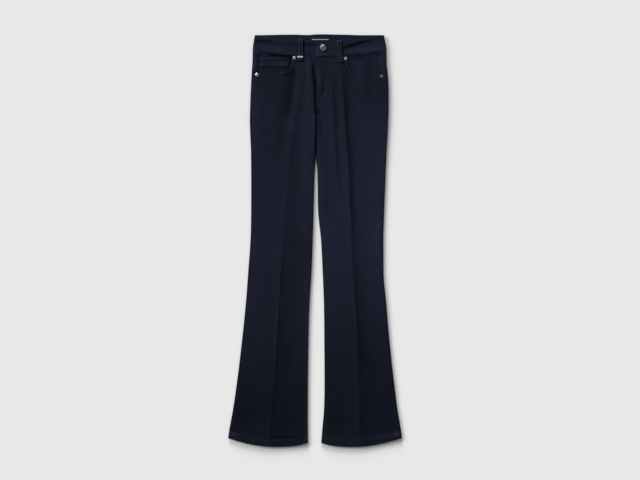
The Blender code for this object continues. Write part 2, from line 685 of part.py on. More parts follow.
garment = bpy.data.collections.new("flared_jeans")
cutters = bpy.data.collections.new("cutters")
bpy.context.scene.collection.children.link(garment)
bpy.context.scene.collection.children.link(cutters)

denim = material("navy_denim", (0.012, 0.014, 0.026), 0.85)
white_tape = material("white_tape", (0.62, 0.62, 0.64), 0.8)
green_tape = material("green_tape", (0.05, 0.35, 0.27), 0.8)
zip_tape = material("zip_tape", (0.015, 0.016, 0.028), 0.7)
dark_metal = material("dark_nickel", (0.16, 0.16, 0.18), 0.35, 1.0)
silver_metal = material("silver_metal", (0.62, 0.62, 0.66), 0.3, 1.0)

make_backs()
make_fronts()
make_pockets()
make_waistband()
make_loops()
make_inner_trims()
make_hardware()
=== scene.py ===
"""Looks of the flared jeans, which lie flat with the front up and the waist towards +Y.

Lengths are in millimetres until a mesh is made. "Down" is a distance along the garment, measured from the top
edge of the back waistband towards the hems, and "reach" is a distance in from a side seam.
"""

import math
from collections import namedtuple
from functools import partial

import bpy
import numpy as np
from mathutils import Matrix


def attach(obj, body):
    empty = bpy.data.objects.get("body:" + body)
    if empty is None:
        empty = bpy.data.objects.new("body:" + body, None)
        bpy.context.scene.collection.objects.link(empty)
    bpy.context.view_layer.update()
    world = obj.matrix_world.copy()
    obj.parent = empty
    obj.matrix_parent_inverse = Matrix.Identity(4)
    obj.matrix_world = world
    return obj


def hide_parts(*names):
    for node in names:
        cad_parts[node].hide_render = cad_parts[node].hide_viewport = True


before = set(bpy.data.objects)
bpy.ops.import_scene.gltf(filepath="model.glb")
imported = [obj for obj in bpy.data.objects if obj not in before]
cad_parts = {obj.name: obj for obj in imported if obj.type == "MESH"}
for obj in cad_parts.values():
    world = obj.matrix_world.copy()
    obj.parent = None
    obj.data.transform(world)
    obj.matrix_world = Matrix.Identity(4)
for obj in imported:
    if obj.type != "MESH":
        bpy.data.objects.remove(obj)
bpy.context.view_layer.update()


# Studio: the jeans lie on a plain pale floor. One wide soft light stands low beyond the waist, a second one
# to the wearer's right, and the pale room fills the shadows. The camera looks straight down.
FLOOR_SIZE, FLOOR_DROP, FLOOR_ROUGHNESS = 14.0, 0.0004, 0.95  # metres
PALE = (0.8, 0.8, 0.8, 1)  # the floor, and the room where the camera sees it
ROOM_STRENGTH = 0.31
CAMERA_HEIGHT, CAMERA_SENSOR = 5.0, 36.0
CAMERA_SEES = 1.696  # width of floor in view
CAMERA_OVER = (0.01325, 0.0028)


def table(columns, rows):
    """Rows whose columns are read by name."""
    row_of = namedtuple("Row", columns)
    return [row_of(*row) for row in rows]


def wire(made, values):
    """Links a shader node's inputs to other nodes' outputs, or sets them to plain values."""
    for socket, value in values.items():
        if isinstance(value, bpy.types.NodeSocket):
            made.id_data.links.new(value, made.inputs[socket])
        else:
            made.inputs[socket].default_value = value


def node(owner, kind, values, out=0, **settings):
    """Adds a node to a material or to the room, and returns one of its outputs."""
    made = owner.node_tree.nodes.new("ShaderNode" + kind)
    for name, value in settings.items():
        setattr(made, name, value)
    wire(made, values)
    return made.outputs[out]


def finish(name, values):
    """A new material and its shader, with the shader's plain values set."""
    made = bpy.data.materials.new(name)
    made.use_nodes = True
    shader = made.node_tree.nodes["Principled BSDF"]
    wire(shader, values)
    return made, shader


bpy.ops.mesh.primitive_plane_add(size=FLOOR_SIZE, location=(0, 0, -FLOOR_DROP))
floor = bpy.context.object
floor.name = "floor"
floor_look = {"Base Color": PALE, "Roughness": FLOOR_ROUGHNESS, "Specular IOR Level": 0.0}
floor.data.materials.append(finish("pale_floor", floor_look)[0])

# In degrees: height over the floor, turn from beyond the waist to the wearer's right, and width in the sky.
LIGHTS = table("height turn width strength", ((15, 10, 22, 4.2), (24, 62, 26, 2.75)))

for light in LIGHTS:
    tilt, turn = math.radians(light.height - 90), math.radians(light.turn)
    bpy.ops.object.light_add(type="SUN", rotation=(tilt, 0, turn))
    bpy.context.object.data.angle = math.radians(light.width)
    bpy.context.object.data.energy = light.strength

room = bpy.data.worlds.new("pale_room")
bpy.context.scene.world = room
room.use_nodes = True
room_light = room.node_tree.nodes["Background"]
wire(room_light, {"Color": (1, 1, 1, 1), "Strength": ROOM_STRENGTH})
room_seen = node(room, "Background", {"Color": PALE})
seen = node(room, "LightPath", {}, "Is Camera Ray")
either = node(room, "MixShader", {0: seen, 1: room_light.outputs[0], 2: room_seen})
wire(room.node_tree.nodes["World Output"], {"Surface": either})

bpy.ops.object.camera_add(location=(*CAMERA_OVER, CAMERA_HEIGHT), rotation=(0, 0, 0))
camera = bpy.context.object
camera.data.sensor_width = CAMERA_SENSOR
camera.data.lens = CAMERA_SENSOR * CAMERA_HEIGHT / CAMERA_SEES
bpy.context.scene.camera = camera
bpy.context.scene.view_settings.view_transform = "Standard"


# Backs: the two back legs, cut from navy stretch denim. They are sewn to the fronts at the side seams and the
# inside leg seams, where the cloth curls up, and to each other down the centre back. They rest on the floor.
MM = 0.001
LENGTH = 1090.5
CLOTH = 1.2
SEAM_GAP = 0.3
CENTRE_GAP = 0.01
ROLL = 3.0
RIM = 0.7
FLAT_SPREAD = 1.15
SEAM_SPREAD = 0.21
CROTCH = 207.0
WAIST_X = 11.4
WAIST_HALF = 173.0
YOKE_FOOT, YOKE_DROP = 78.0, 30.0
HEM_DEPTH = 20.0
HEM_LOWEST = 0.42
HEM_SIDE_RISE, HEM_SIDE_POWER = 24.5, 1.8
HEM_INSIDE_RISE, HEM_INSIDE_POWER = 11.0, 3
HEM_ROWS = (0.4, 0.8, 1.2, 1.8, 4, 7, 10, 13, 16, 18.5, HEM_DEPTH)  # from the top of the hem's turning
LEG_TOP = 60.0  # about where a leg's rows start
CURL_RUN = 10.0
EDGE_ANGLE, SMOOTH_ANGLE = math.radians(55), math.radians(50)
BACK_ROW_SPACING, BACK_COLUMNS = 4.4, 22
TWIN_ROWS = (2.0, 8.0)  # two rows of stitches, from the edge that they hold

# Where the seams run: the x of each leg's side seam and inside edge.
SECTIONS = table("down right_side right_inside left_inside left_side", (
    (0, -159.5, -8, -8, 182.3),
    (27, -163.8, -8, -8, 187.9),
    (39, -165.1, -8, -8, 189.5),
    (55, -165.2, -7.8, -7.8, 188.6),
    (120, -168.8, -2.4, -2.4, 194),
    (173, -171.2, 1.5, 1.5, 194.8),
    (CROTCH, -172.2, 3.79, 3.81, 194.2),
    (226, -172.6, 4.19, 4.21, 193.5),
    (265, -171.3, 3.79, 3.81, 191.8),
    (305, -169.7, 2.59, 2.63, 189.4),
    (322, -169.5, 1.8, 2.6, 188.7),
    (345, -169.2, 0, 5.4, 187.6),
    (383, -169, -1.8, 6.8, 186),
    (464, -169.1, -4.1, 8, 183),
    (544, -171, -6.4, 16, 180.7),
    (623, -176.6, -9.6, 20, 181),
    (703, -182.7, -14.4, 23.3, 187.9),
    (809, -193.4, -17.7, 24.6, 197.1),
    (915, -206.2, -19, 25.2, 208.8),
    (994, -217.6, -19.4, 23.6, 218.9),
    (1047, -227.2, -19.2, 19, 227.9),
    (LENGTH, -233, -18.4, 15.6, 233),
))

# Heights of the laid garment: the outer face of the back, the seams at the curled edges, and the front's
# outer face across each leg. Near is just inside the edge towards the wearer's right, flat a third of the way
# on to the pressed crease, belly half-way from the crease to the other edge, and far just inside that edge.
PROFILES = table("down back seam near flat crease belly far", (
    (0, 1.5, 4.3, 7.3, 7.3, 7.3, 7.3, 7.3),
    (118, 1.5, 4.3, 7.2, 7.3, 7.3, 7.2, 7.3),
    (180, 1.5, 4.2, 6.9, 7.1, 7.2, 6.5, 7.1),
    (CROTCH, 1.5, 4.1, 6.6, 7, 7.1, 6.3, 7),
    (250, 1.5, 3.9, 6.1, 6.8, 7, 5.9, 6.8),
    (295, 1.5, 3.7, 5.7, 6.4, 6.7, 5.3, 6.5),
    (350, 0, 3.1, 5.2, 5.9, 6.2, 4.4, 6.1),
    (464, 0, 3, 5, 5.5, 5.8, 4, 5.9),
    (703, 0, 3, 4.9, 5.3, 5.7, 3.8, 5.7),
    (915, 0, 3, 4.8, 5.2, 5.6, 4, 5.5),
    (LENGTH, 0, 3, 4.8, 5, 5.3, 4.3, 5.2),
))

# The pressed crease of each leg, and how high its narrow ridge stands.
CREASES = table("down right left right_lift left_lift", (
    (0, -30, 68, 0, 0),
    (90, -30, 68, 0, 0),
    (124, -33, 71.5, 0.4, 1.6),
    (158, -38.4, 75.5, 0.7, 2.1),
    (185, -43.4, 78, 0.7, 2.1),
    (219, -51, 78.3, 0.8, 2),
    (251, -57, 80.2, 0.8, 1.8),
    (291, -63, 83.6, 0.7, 1.6),
    (330, -66.2, 88.2, 0.7, 1.5),
    (383, -70, 90.4, 0.6, 1.5),
    (436, -75.4, 92.4, 0.6, 1.4),
    (503, -81.4, 95.6, 0.5, 1.2),
    (569, -87, 97.4, 0.7, 0.8),
    (635, -90.4, 101.9, 0.8, 0.7),
    (701, -95.4, 104.6, 0.8, 0.7),
    (768, -99.4, 109.8, 0.7, 0.7),
    (834, -103.4, 111.5, 0.6, 0.6),
    (900, -107.2, 113.2, 0.5, 0.4),
    (966, -112.6, 115, 0.5, 0.4),
    (1033, -117.8, 116.8, 0.4, 0.4),
    (LENGTH, -121, 118, 0.4, 0.4),
))

# How light the cloth's colour is down the garment: painted shade darkens the lower legs, where the light
# falls off towards the hems, and the left thigh is the lightest.
LEG_TONE_AND_PAINTED_SHADE = table("down right left", (
    (0, 1.03, 1.03),
    (60, 1, 1),
    (124, 0.91, 0.92),
    (190, 0.93, 1.02),
    (290, 0.95, 1.2),
    (470, 0.98, 1.23),
    (570, 1, 1.2),
    (635, 0.93, 1.08),
    (700, 0.92, 1),
    (768, 0.83, 0.8),
    (834, 0.71, 0.67),
    (900, 0.6, 0.6),
    (966, 0.51, 0.555),
    (1033, 0.56, 0.6),
    (LENGTH, 0.53, 0.56),
))


def read(rows, field, down):
    """One column of a table at distances down the garment, on a smooth curve that never overshoots a row."""
    at = np.array([row.down for row in rows], float)
    value = np.array([getattr(row, field) for row in rows], float)
    rise = np.diff(value) / np.diff(at)
    before, after = np.append(rise[0], rise), np.append(rise, rise[-1])
    limit = 3 * np.minimum(np.abs(before), np.abs(after)) * (before * after > 0)
    slope = np.clip(np.gradient(value, at), -limit, limit)
    down = np.clip(down, at[0], at[-1])
    first = np.clip(np.searchsorted(at, down, side="right") - 1, 0, len(at) - 2)
    span = at[first + 1] - at[first]
    t = (down - at[first]) / span
    start = (1 + 2 * t) * (1 - t) ** 2 * value[first] + t * (1 - t) ** 2 * span * slope[first]
    end = t**2 * (3 - 2 * t) * value[first + 1] - t**2 * (1 - t) * span * slope[first + 1]
    return start + end


def ease(value):
    """0 below nought, 1 above one, and a smooth step between."""
    value = np.clip(value, 0.0, 1.0)
    return value * value * (3 - 2 * value)


def bell(away, width):
    """1 at nought, fading smoothly on both sides."""
    return np.exp(-((away / width) ** 2))


def level(value):
    """A line, or a face, that stays at one value."""
    return lambda x, down=0.0: value + 0.0 * x


def outward(leg):
    return -1.0 if leg == "right" else 1.0


def side_x(leg, down):
    return read(SECTIONS, leg + "_side", down)


def inside_x(leg, down):
    return read(SECTIONS, leg + "_inside", down)


def waist_share(x):
    """0 at the middle of the waist and 1 at its sides."""
    return np.clip(np.abs(x - WAIST_X) / WAIST_HALF, 0.0, 1.0)


def yoke_foot(x):
    return YOKE_FOOT + YOKE_DROP * (1 - waist_share(x))


def hem_line(leg, x):
    """The hem's distance down at x: lowest near the middle of the leg, higher at both seams."""
    inside = inside_x(leg, LENGTH)
    share = np.clip((x - inside) / (side_x(leg, LENGTH) - inside), 0.0, 1.0)
    to_inside = np.clip((HEM_LOWEST - share) / HEM_LOWEST, 0.0, 1.0)
    to_side = np.clip((share - HEM_LOWEST) / (1 - HEM_LOWEST), 0.0, 1.0)
    rise = HEM_INSIDE_RISE * to_inside**HEM_INSIDE_POWER + HEM_SIDE_RISE * to_side**HEM_SIDE_POWER
    return LENGTH - rise


def curled(down):
    """How far the inside edge is curled under: not at all along the centre seam, fully down the leg."""
    return ease((down - (CROTCH - CURL_RUN / 2)) / CURL_RUN)


def back_height(leg, x, down):
    return read(PROFILES, "back", down) + 0.0 * x


def back_centre(leg, down):
    """The backs' inside edge: the centre seam runs straight from the middle of the waist to the crotch."""
    share = np.clip(down / CROTCH, 0.0, 1.0)
    seam = WAIST_X + (inside_x("right", CROTCH) - WAIST_X) * share + outward(leg) * CENTRE_GAP
    return np.where(down < CROTCH, seam, inside_x(leg, down))


# Places on a curled edge are angles from the flat cloth, and the last one is on the rim at the seam.
RIM_EDGE = 120
CURL = (RIM_EDGE, 90, 72, 54, 36, 18, 0)
INSIDE_CURL = [("inside", angle) for angle in CURL]
SIDE_CURL = [("side", angle) for angle in reversed(CURL)]


def curl_offset(angle, amount):
    """How far in from the seam a place on a curled edge lies; uncurled, the places are evenly spread."""
    if angle == RIM_EDGE:
        return 0.0 * amount
    curled_in = ROLL * (1 - math.sin(math.radians(angle)))
    flat_in = ROLL * (1 - angle / 90 / FLAT_SPREAD)
    return amount * curled_in + (1 - amount) * flat_in


def curl_height(height, down, angle, amount, over):
    """The height of a place on a curled edge, between the flat cloth's height and the seam's."""
    seam = read(PROFILES, "seam", down) + over * SEAM_SPREAD
    if angle == RIM_EDGE:
        return height + amount * (seam - height)
    drop = 1 - math.cos(math.radians(angle))
    return height + amount * drop * (seam + over * RIM - height)


def leg_columns(count):
    """Columns from a leg's inside seam to its side seam, with the same count on both sides of the crease."""
    shares = [k / count for k in range(1, count + 1)]
    inner, outer = ([(kind, share) for share in shares] for kind in ("inner", "outer"))
    return INSIDE_CURL + inner + outer[-2::-1] + SIDE_CURL


def panel(leg, columns, down_at, height_at, inside=inside_x, over=1):
    """A grid of (x, down, height) points over one leg's half of the garment.

    A column is a kind of place across the leg and how far along it lies. down_at gives each row's distance
    down at x, and over is 1 for the front and -1 for the back.
    """
    toward = outward(leg)
    grid = []
    for kind, place in columns:
        down = down_at(read(CREASES, leg, 0.0))
        for _ in range(6):  # x and down settle, as each depends on the other
            edge, side = inside(leg, down), side_x(leg, down)
            start, end = edge + toward * ROLL, side - toward * ROLL
            crease = read(CREASES, leg, down)
            x = {
                "inside": edge + toward * curl_offset(place, curled(down)),
                "inner": start + (crease - start) * place,
                "outer": end + (crease - end) * place,
                "reach": side - toward * place,
                "x": place + 0.0 * down,
                "side": side - toward * curl_offset(place, 1.0),
            }[kind]
            down = down_at(x)
        height = height_at(leg, end if kind == "side" else x, down)
        if kind in ("side", "inside"):
            height = curl_height(height, down, place, 1.0 if kind == "side" else curled(down), over)
        grid.append(np.stack([x, down, height], axis=-1))
    return np.stack(grid, axis=1)


def rows_between(top, foot, count):
    """Rows spread evenly between two lines that are functions of x."""
    shares = np.linspace(0, 1, count)
    return lambda x: top(x) + (foot(x) - top(x)) * shares


def leg_rows(leg, top, spacing):
    """Rows of a leg from its top seam to the hem, close together over the hem's step."""
    shares = np.linspace(0, 1, int((LENGTH - HEM_DEPTH - LEG_TOP) / spacing))
    past = np.append(np.zeros(len(shares)), HEM_ROWS)
    shares = np.append(shares, np.ones(len(HEM_ROWS)))
    return lambda x: top(x) + (hem_line(leg, x) - HEM_DEPTH - top(x)) * shares + past


def ramp(made, value, low, high, start=0.0, end=1.0):
    """Turns a value between start and end into one between low and high."""
    between = {"From Min": start, "From Max": end, "To Min": low, "To Max": high}
    return node(made, "MapRange", {"Value": value, **between})


def blend(made, share, first, second):
    return node(made, "Mix", {"Factor": share, 6: (*first, 1), 7: (*second, 1)}, 2, data_type="RGBA")


def tint(made, colour, tone):
    return node(made, "VectorMath", {0: colour, "Scale": tone}, operation="SCALE")


def bumps(made, height, strength, depth):
    return node(made, "Bump", {"Height": height, "Strength": strength, "Distance": depth})


def combine(made, first, second, operation):
    return node(made, "Math", {0: first, 1: second}, operation=operation)


def noise(made, place, scale, detail, stretch=None):
    """Cloudy noise, drawn out along the cloth where stretch is given."""
    if stretch:
        place = node(made, "Mapping", {"Vector": place, "Scale": stretch})
    return node(made, "TexNoise", {"Vector": place, "Scale": scale, "Detail": detail}, "Fac")


def waves(made, place, scale, direction, **more):
    return node(made, "TexWave", {"Vector": place, "Scale": scale, **more}, "Fac", bands_direction=direction)


TWILL_ANGLE = -62.0


def weave_denim(name, warp, weft):
    """Twill denim: dark warp floats over lighter weft, slubs along the warp, cloudy dyeing, painted light and
    shade.
    """
    made, shader = finish(name, {"Specular IOR Level": 0.04})
    cut = node(made, "UVMap", {}, uv_map="cut")
    turned = node(made, "Mapping", {"Vector": cut, "Rotation": (0, 0, math.radians(TWILL_ANGLE))})
    twill = waves(made, turned, 330.0, "X", Distortion=0.9, Detail=1.5, **{"Detail Scale": 2.0})
    floats = waves(made, cut, 620.0, "X", Distortion=1.2, Detail=1.0)
    slub = noise(made, cut, 1.0, 3.0, (900, 42, 1))
    weft_slub = noise(made, cut, 1.0, 2.0, (60, 800, 1))
    cloud = noise(made, cut, 16.0, 4.0)
    grain = noise(made, cut, 240.0, 3.0)
    # The tone attribute holds painted light and shade, lightening or darkening the cloth point by point.
    tone = node(made, "Attribute", {}, "Fac", attribute_name="tone_with_painted_light")
    for unevenness, spread in ((slub, 0.22), (weft_slub, 0.14), (cloud, 0.07), (grain, 0.12)):
        part = ramp(made, unevenness, 1 - spread, 1 + spread, 0.25, 0.75)
        tone = combine(made, tone, part, "MULTIPLY")
    yarns = blend(made, ramp(made, twill, 0.0, 0.55, 0.5, 0.0), warp, weft)
    height = combine(made, combine(made, twill, floats, "ADD"), slub, "ADD")
    wire(shader, {
        "Base Color": tint(made, yarns, tone),
        "Roughness": ramp(made, twill, 0.95, 0.74),
        "Normal": bumps(made, height, 0.5, 0.00012),
    })
    return made


def lay(name, grid, wall, made_of, face_up=True, painted_light_and_tone=1.0, cut_away=None, rounding=0.35):
    """Lays a piece of cloth: a grid is shaped to (x, down, height) points, given its wall and rounded edges.

    Painted light and shade lighten or darken each point's colour; cut_away marks grid faces that are cut out.
    """
    rows, columns = grid.shape[:2]
    bpy.ops.object.select_all(action="DESELECT")
    bpy.ops.mesh.primitive_grid_add(x_subdivisions=columns - 1, y_subdivisions=rows - 1, size=1.0)
    piece = bpy.context.object
    piece.name = name
    mesh = piece.data
    mesh.name = name
    points = np.stack([grid[..., 0], LENGTH / 2 - grid[..., 1], grid[..., 2]], axis=-1) * MM
    mesh.vertices.foreach_set("co", points.reshape(-1, 3).astype(np.float32).ravel())

    step = np.linalg.norm(np.diff(points, axis=1), axis=2)
    across = np.concatenate([np.zeros((rows, 1)), np.cumsum(step, axis=1)], axis=1)
    across -= across[:, columns // 2, None]
    cut = np.stack([across, points[..., 1]], axis=-1).reshape(-1, 2)
    corner = np.zeros(len(mesh.loops), np.int32)
    mesh.loops.foreach_get("vertex_index", corner)
    mesh.uv_layers[0].name = "cut"
    mesh.uv_layers[0].data.foreach_set("uv", cut[corner].astype(np.float32).ravel())

    left = ease((grid[..., 0] - inside_x("left", grid[..., 1])) / 10 + 0.5)
    # Painted shade down the legs, with each point's own painted light and shade, sets the cloth's tone.
    right_tone_and_shade, left_tone_and_shade = (read(LEG_TONE_AND_PAINTED_SHADE, leg, grid[..., 1]) for leg in ("right", "left"))
    strength = (right_tone_and_shade + (left_tone_and_shade - right_tone_and_shade) * left) * painted_light_and_tone
    tone = mesh.attributes.new("tone_with_painted_light", "FLOAT", "POINT")
    tone.data.foreach_set("value", strength.astype(np.float32).ravel())
    mesh.update()

    bpy.ops.object.mode_set(mode="EDIT")
    if cut_away is not None:
        bpy.ops.mesh.select_mode(type="FACE")
        bpy.ops.mesh.select_all(action="DESELECT")
        bpy.ops.object.mode_set(mode="OBJECT")
        mesh.polygons.foreach_set("select", cut_away.ravel())
        bpy.ops.object.mode_set(mode="EDIT")
        bpy.ops.mesh.delete(type="FACE")
    turn = np.cross(points[0, -1] - points[0, 0], points[-1, 0] - points[0, 0])[2]
    if (turn > 0) != face_up:
        bpy.ops.mesh.select_all(action="SELECT")
        bpy.ops.mesh.flip_normals()
    bpy.ops.object.mode_set(mode="OBJECT")

    thick = piece.modifiers.new("wall", "SOLIDIFY")
    thick.thickness = wall * MM
    thick.offset = -1.0
    thick.use_quality_normals = True
    bpy.ops.object.modifier_apply(modifier=thick.name)
    edge = piece.modifiers.new("edge", "BEVEL")
    edge.width = rounding * MM
    edge.segments = 2
    edge.limit_method = "ANGLE"
    edge.angle_limit = EDGE_ANGLE
    bpy.ops.object.modifier_apply(modifier=edge.name)
    bpy.ops.object.shade_smooth_by_angle(angle=SMOOTH_ANGLE)
    mesh.materials.clear()
    mesh.materials.append(made_of)
    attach(piece, "root")
    return piece


def bead(segments, rings, turn=0.0):
    """Points and faces of a small ball one unit wide, turned about Y, always in the same order."""
    bpy.ops.object.select_all(action="DESELECT")
    turned = (0, turn, 0)
    bpy.ops.mesh.primitive_uv_sphere_add(segments=segments, ring_count=rings, radius=0.5, rotation=turned)
    ball = bpy.context.object
    bpy.ops.object.transform_apply(rotation=True)
    points = np.array([point.co for point in ball.data.vertices])
    faces = sorted(tuple(face.vertices) for face in ball.data.polygons)
    bpy.data.objects.remove(ball)
    return points, faces


def join(name, copies, faces, made_of):
    """One mesh of many copies of a small form, from every copy's points and the form's faces."""
    each = copies.shape[1]
    all_faces = [tuple(v + each * i for v in face) for i in range(len(copies)) for face in faces]
    mesh = bpy.data.meshes.new(name)
    mesh.from_pydata((copies * MM).reshape(-1, 3).tolist(), [], all_faces)
    mesh.shade_smooth()
    mesh.materials.append(made_of)
    piece = bpy.data.objects.new(name, mesh)
    bpy.context.scene.collection.objects.link(piece)
    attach(piece, "root")
    return piece


STITCH = 2.9  # from one stitch to the next
STITCH_SIZE = (2.5, 0.56, 0.4)  # a bead of thread along X, whose ends dip into the cloth
stitch_points, stitch_faces = bead(6, 4, math.pi / 2)
stitch_points = stitch_points * STITCH_SIZE


def sew(name, lines, height_at, proud=0.05):
    """Sews rows of stitches along lines of (x, down) points, on the surface that height_at gives."""
    places, alongs = [], []
    for line in lines:
        line = np.array(line, float)
        run = np.concatenate([[0], np.cumsum(np.linalg.norm(np.diff(line, axis=0), axis=1))])
        count = max(1, int(run[-1] / STITCH))
        middle = (np.arange(count) + 0.5) * run[-1] / count
        ends = []
        for side in (-1, 1):
            x, down = (np.interp(middle + side, run, line[:, k]) for k in (0, 1))
            ends.append(np.stack([x, LENGTH / 2 - down, np.asarray(height_at(x, down)) + proud], axis=1))
        first, last = ends
        places.append((first + last) / 2)
        alongs.append((last - first) / np.maximum(np.linalg.norm(last - first, axis=1, keepdims=True), 1e-6))
    place, along = np.concatenate(places), np.concatenate(alongs)
    beside = np.cross([0.0, 0.0, 1.0], along)
    beside /= np.linalg.norm(beside, axis=1, keepdims=True)
    above = np.cross(along, beside)
    shape = stitch_points[None, :, :]
    points = place[:, None, :] + shape[..., 0:1] * along[:, None] + shape[..., 1:2] * beside[:, None]
    seam = join(name, points + shape[..., 2:3] * above[:, None], stitch_faces, navy_thread)
    return seam


def spin_thread(name, colour):
    """Twisted sewing thread: two plies with a faint twist and fuzz."""
    made, shader = finish(name, {"Roughness": 0.7, "Specular IOR Level": 0.12})
    place = node(made, "TexCoord", {}, "Object")
    twist = waves(made, place, 900.0, "DIAGONAL", Distortion=0.5)
    fuzz = noise(made, place, 3000.0, 2.0)
    tone = ramp(made, combine(made, twist, fuzz, "ADD"), 0.7, 1.3, 0.0, 2.0)
    wire(shader, {"Base Color": tint(made, colour, tone), "Normal": bumps(made, twist, 0.4, 0.00008)})
    return made


def hem_row(leg, shares, from_inside, from_side, above):
    """A row of stitches across a leg, above the top of the hem's turning."""
    inner = inside_x(leg, LENGTH) + outward(leg) * from_inside
    across = inner + (side_x(leg, LENGTH - HEM_DEPTH) - outward(leg) * from_side - inner) * shares
    return np.stack([across, hem_line(leg, across) - HEM_DEPTH + above], axis=1)


denim = weave_denim("navy_denim", (0.0074, 0.0089, 0.0194), (0.0190, 0.0218, 0.0367))
navy_thread = spin_thread("navy_thread", (0.0095, 0.0112, 0.0205))

for leg in ("right", "left"):
    rows = leg_rows(leg, lambda x: yoke_foot(x) + SEAM_GAP, BACK_ROW_SPACING)
    grid = panel(leg, leg_columns(BACK_COLUMNS), rows, back_height, inside=back_centre, over=-1)
    back = lay(f"back_{leg}", grid, CLOTH, denim, face_up=False)
    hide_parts(f"back_panel_{leg}")
    shares = np.linspace(0.01, 0.99, 80)
    top = side_x(leg, 90.0) + (back_centre(leg, 100.0) - side_x(leg, 90.0)) * shares
    rows_sewn = [np.stack([top, yoke_foot(top) + gap], axis=1) for gap in TWIN_ROWS]
    rows_sewn.append(hem_row(leg, shares, 2.5, 3, 2))
    seam = np.linspace(112, CROTCH - 3, 40)
    if leg == "left":
        rows_sewn += [np.stack([back_centre(leg, seam) + gap, seam], axis=1) for gap in (1.7, 7.7)]
    thread = sew(f"back_stitching_{leg}", rows_sewn, partial(back_height, leg), proud=0.2)


# Yokes: the two shaped strips of denim between each back leg and the waistband. The backs are felled over
# their lower edges with two rows of stitches, and the back waistband holds their upper edges.
BACK_BAND_FOOT = 38.5

for leg in ("right", "left"):
    rows = rows_between(level(BACK_BAND_FOOT + 2 * SEAM_GAP), yoke_foot, 16)
    grid = panel(leg, leg_columns(BACK_COLUMNS), rows, back_height, inside=back_centre, over=-1)
    yoke = lay(f"yoke_{leg}", grid, CLOTH, denim, face_up=False)
    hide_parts(f"back_yoke_{leg}")


# Back patch pockets: pointed denim patches sewn twice round, with a turned top edge. They lie under the
# backs, flat on the floor, and carry no ornament.
TRIM = 1.2
POCKET_X = {"right": -82.0, "left": 105.0}
POCKET_TOP, POCKET_SIDE, POCKET_POINT = 124.0, 124.0, 20.0
POCKET_HALF_TOP, POCKET_HALF_FOOT = 67.0, 59.0
POCKET_HEM_ROWS = (2.0, 14.0)
POCKET_LIFT = 0.22  # the stitches show under the patch, so it lies this much off the floor

for leg in ("right", "left"):
    across = np.linspace(-1, 1, 41)
    shares = np.linspace(0, 1, 46)[:, None]
    half = POCKET_HALF_TOP + (POCKET_HALF_FOOT - POCKET_HALF_TOP) * shares
    foot = POCKET_SIDE + POCKET_POINT * (1 - np.abs(across))[None, :]
    x = POCKET_X[leg] + half * across[None, :]
    grid = np.stack([x, POCKET_TOP + foot * shares, POCKET_LIFT + 0.0 * x], axis=-1)
    patch = lay(f"back_pocket_patch_{leg}", grid, TRIM - POCKET_LIFT, denim, face_up=False)
    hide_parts(f"back_pocket_{leg}")
    middle, low = POCKET_X[leg], POCKET_TOP + POCKET_SIDE
    rows_sewn = []
    for inset in TWIN_ROWS:
        wide, narrow, corner = POCKET_HALF_TOP - inset, POCKET_HALF_FOOT - inset, low - inset * 0.8
        side = [(-wide, POCKET_TOP), (-narrow, corner)]
        outline = side + [(0.0, low + POCKET_POINT - inset * 1.05)] + [(-x, down) for x, down in side[::-1]]
        rows_sewn.append([(middle + x, down) for x, down in outline])
    for gap in POCKET_HEM_ROWS:
        rows_sewn.append([(middle + side * POCKET_HALF_TOP, POCKET_TOP + gap) for side in (-1, 1)])
    thread = sew(f"back_pocket_stitching_{leg}", rows_sewn, level(POCKET_LIFT), proud=0.0)


# Back waistband: one curved strip of doubled denim, sewn along both edges and over the tops of the yokes. Its
# inner face shows as a crescent above the front band.
BAND = 1.9
BACK_BAND_ENDS = {"right": -156.0, "left": 179.0}
BACK_BAND_ROW = 2.2
RISE_AT = (-156, -110, -90, -48, -34, -14, 0, 18, 36, 60, 84, 100, 116)
RISE = (0.0, 0.7, 1.3, 1.5, 0.5, 0.5, 2.1, 2.4, 2.1, 1.6, 1.2, 0.6, 0.0)  # the top edge is not quite straight

rows = rows_between(lambda x: -np.interp(x, RISE_AT, RISE), level(BACK_BAND_FOOT), 18)
halves = {}
for leg, end in BACK_BAND_ENDS.items():
    columns = [("x", x) for x in np.linspace(WAIST_X + outward(leg) * 2.0, end, 56)] + SIDE_CURL
    halves[leg] = panel(leg, columns, rows, back_height, over=-1)
grid = np.concatenate([halves["right"][:, ::-1], halves["left"]], axis=1)
x, down = grid[..., 0], grid[..., 1]
lit = 0.16 * bell(x + 82, 38) * ease((14 - down) / 6)
lit = lit + 0.5 * bell(x + 136, 14) * ease((8 - down) / 4)
back_band = lay("back_waistband", grid, BAND, denim, face_up=False, painted_light_and_tone=1 + lit, rounding=0.5)
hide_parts("waistband_back")
across = np.linspace(*BACK_BAND_ENDS.values(), 160)
rows_sewn = [[(x, down) for x in across] for down in (BACK_BAND_ROW, BACK_BAND_FOOT - BACK_BAND_ROW)]
inner_face = read(PROFILES, "back", 0.0) + BAND
thread = sew("back_waistband_stitching", rows_sewn, level(inner_face))


# Back belt loops: three folded strips of denim under the back band, tacked to it at both ends. Two rows of
# stitches run down each one.
LOOP_WIDTH = 11.5
BACK_LOOPS = {"right": -84.0, "centre": WAIST_X, "left": 107.0}
BACK_LOOP_DOWN = (1.0, 52.0)
BACK_LOOP_LIFT, BACK_LOOP_SEWN = 0.15, 0.2


def flat_strip(across, along, height):
    """A grid at one height, with a point for every pair of an x and a distance down."""
    return np.stack(np.broadcast_arrays(across[None, :], along[:, None], height), axis=-1)


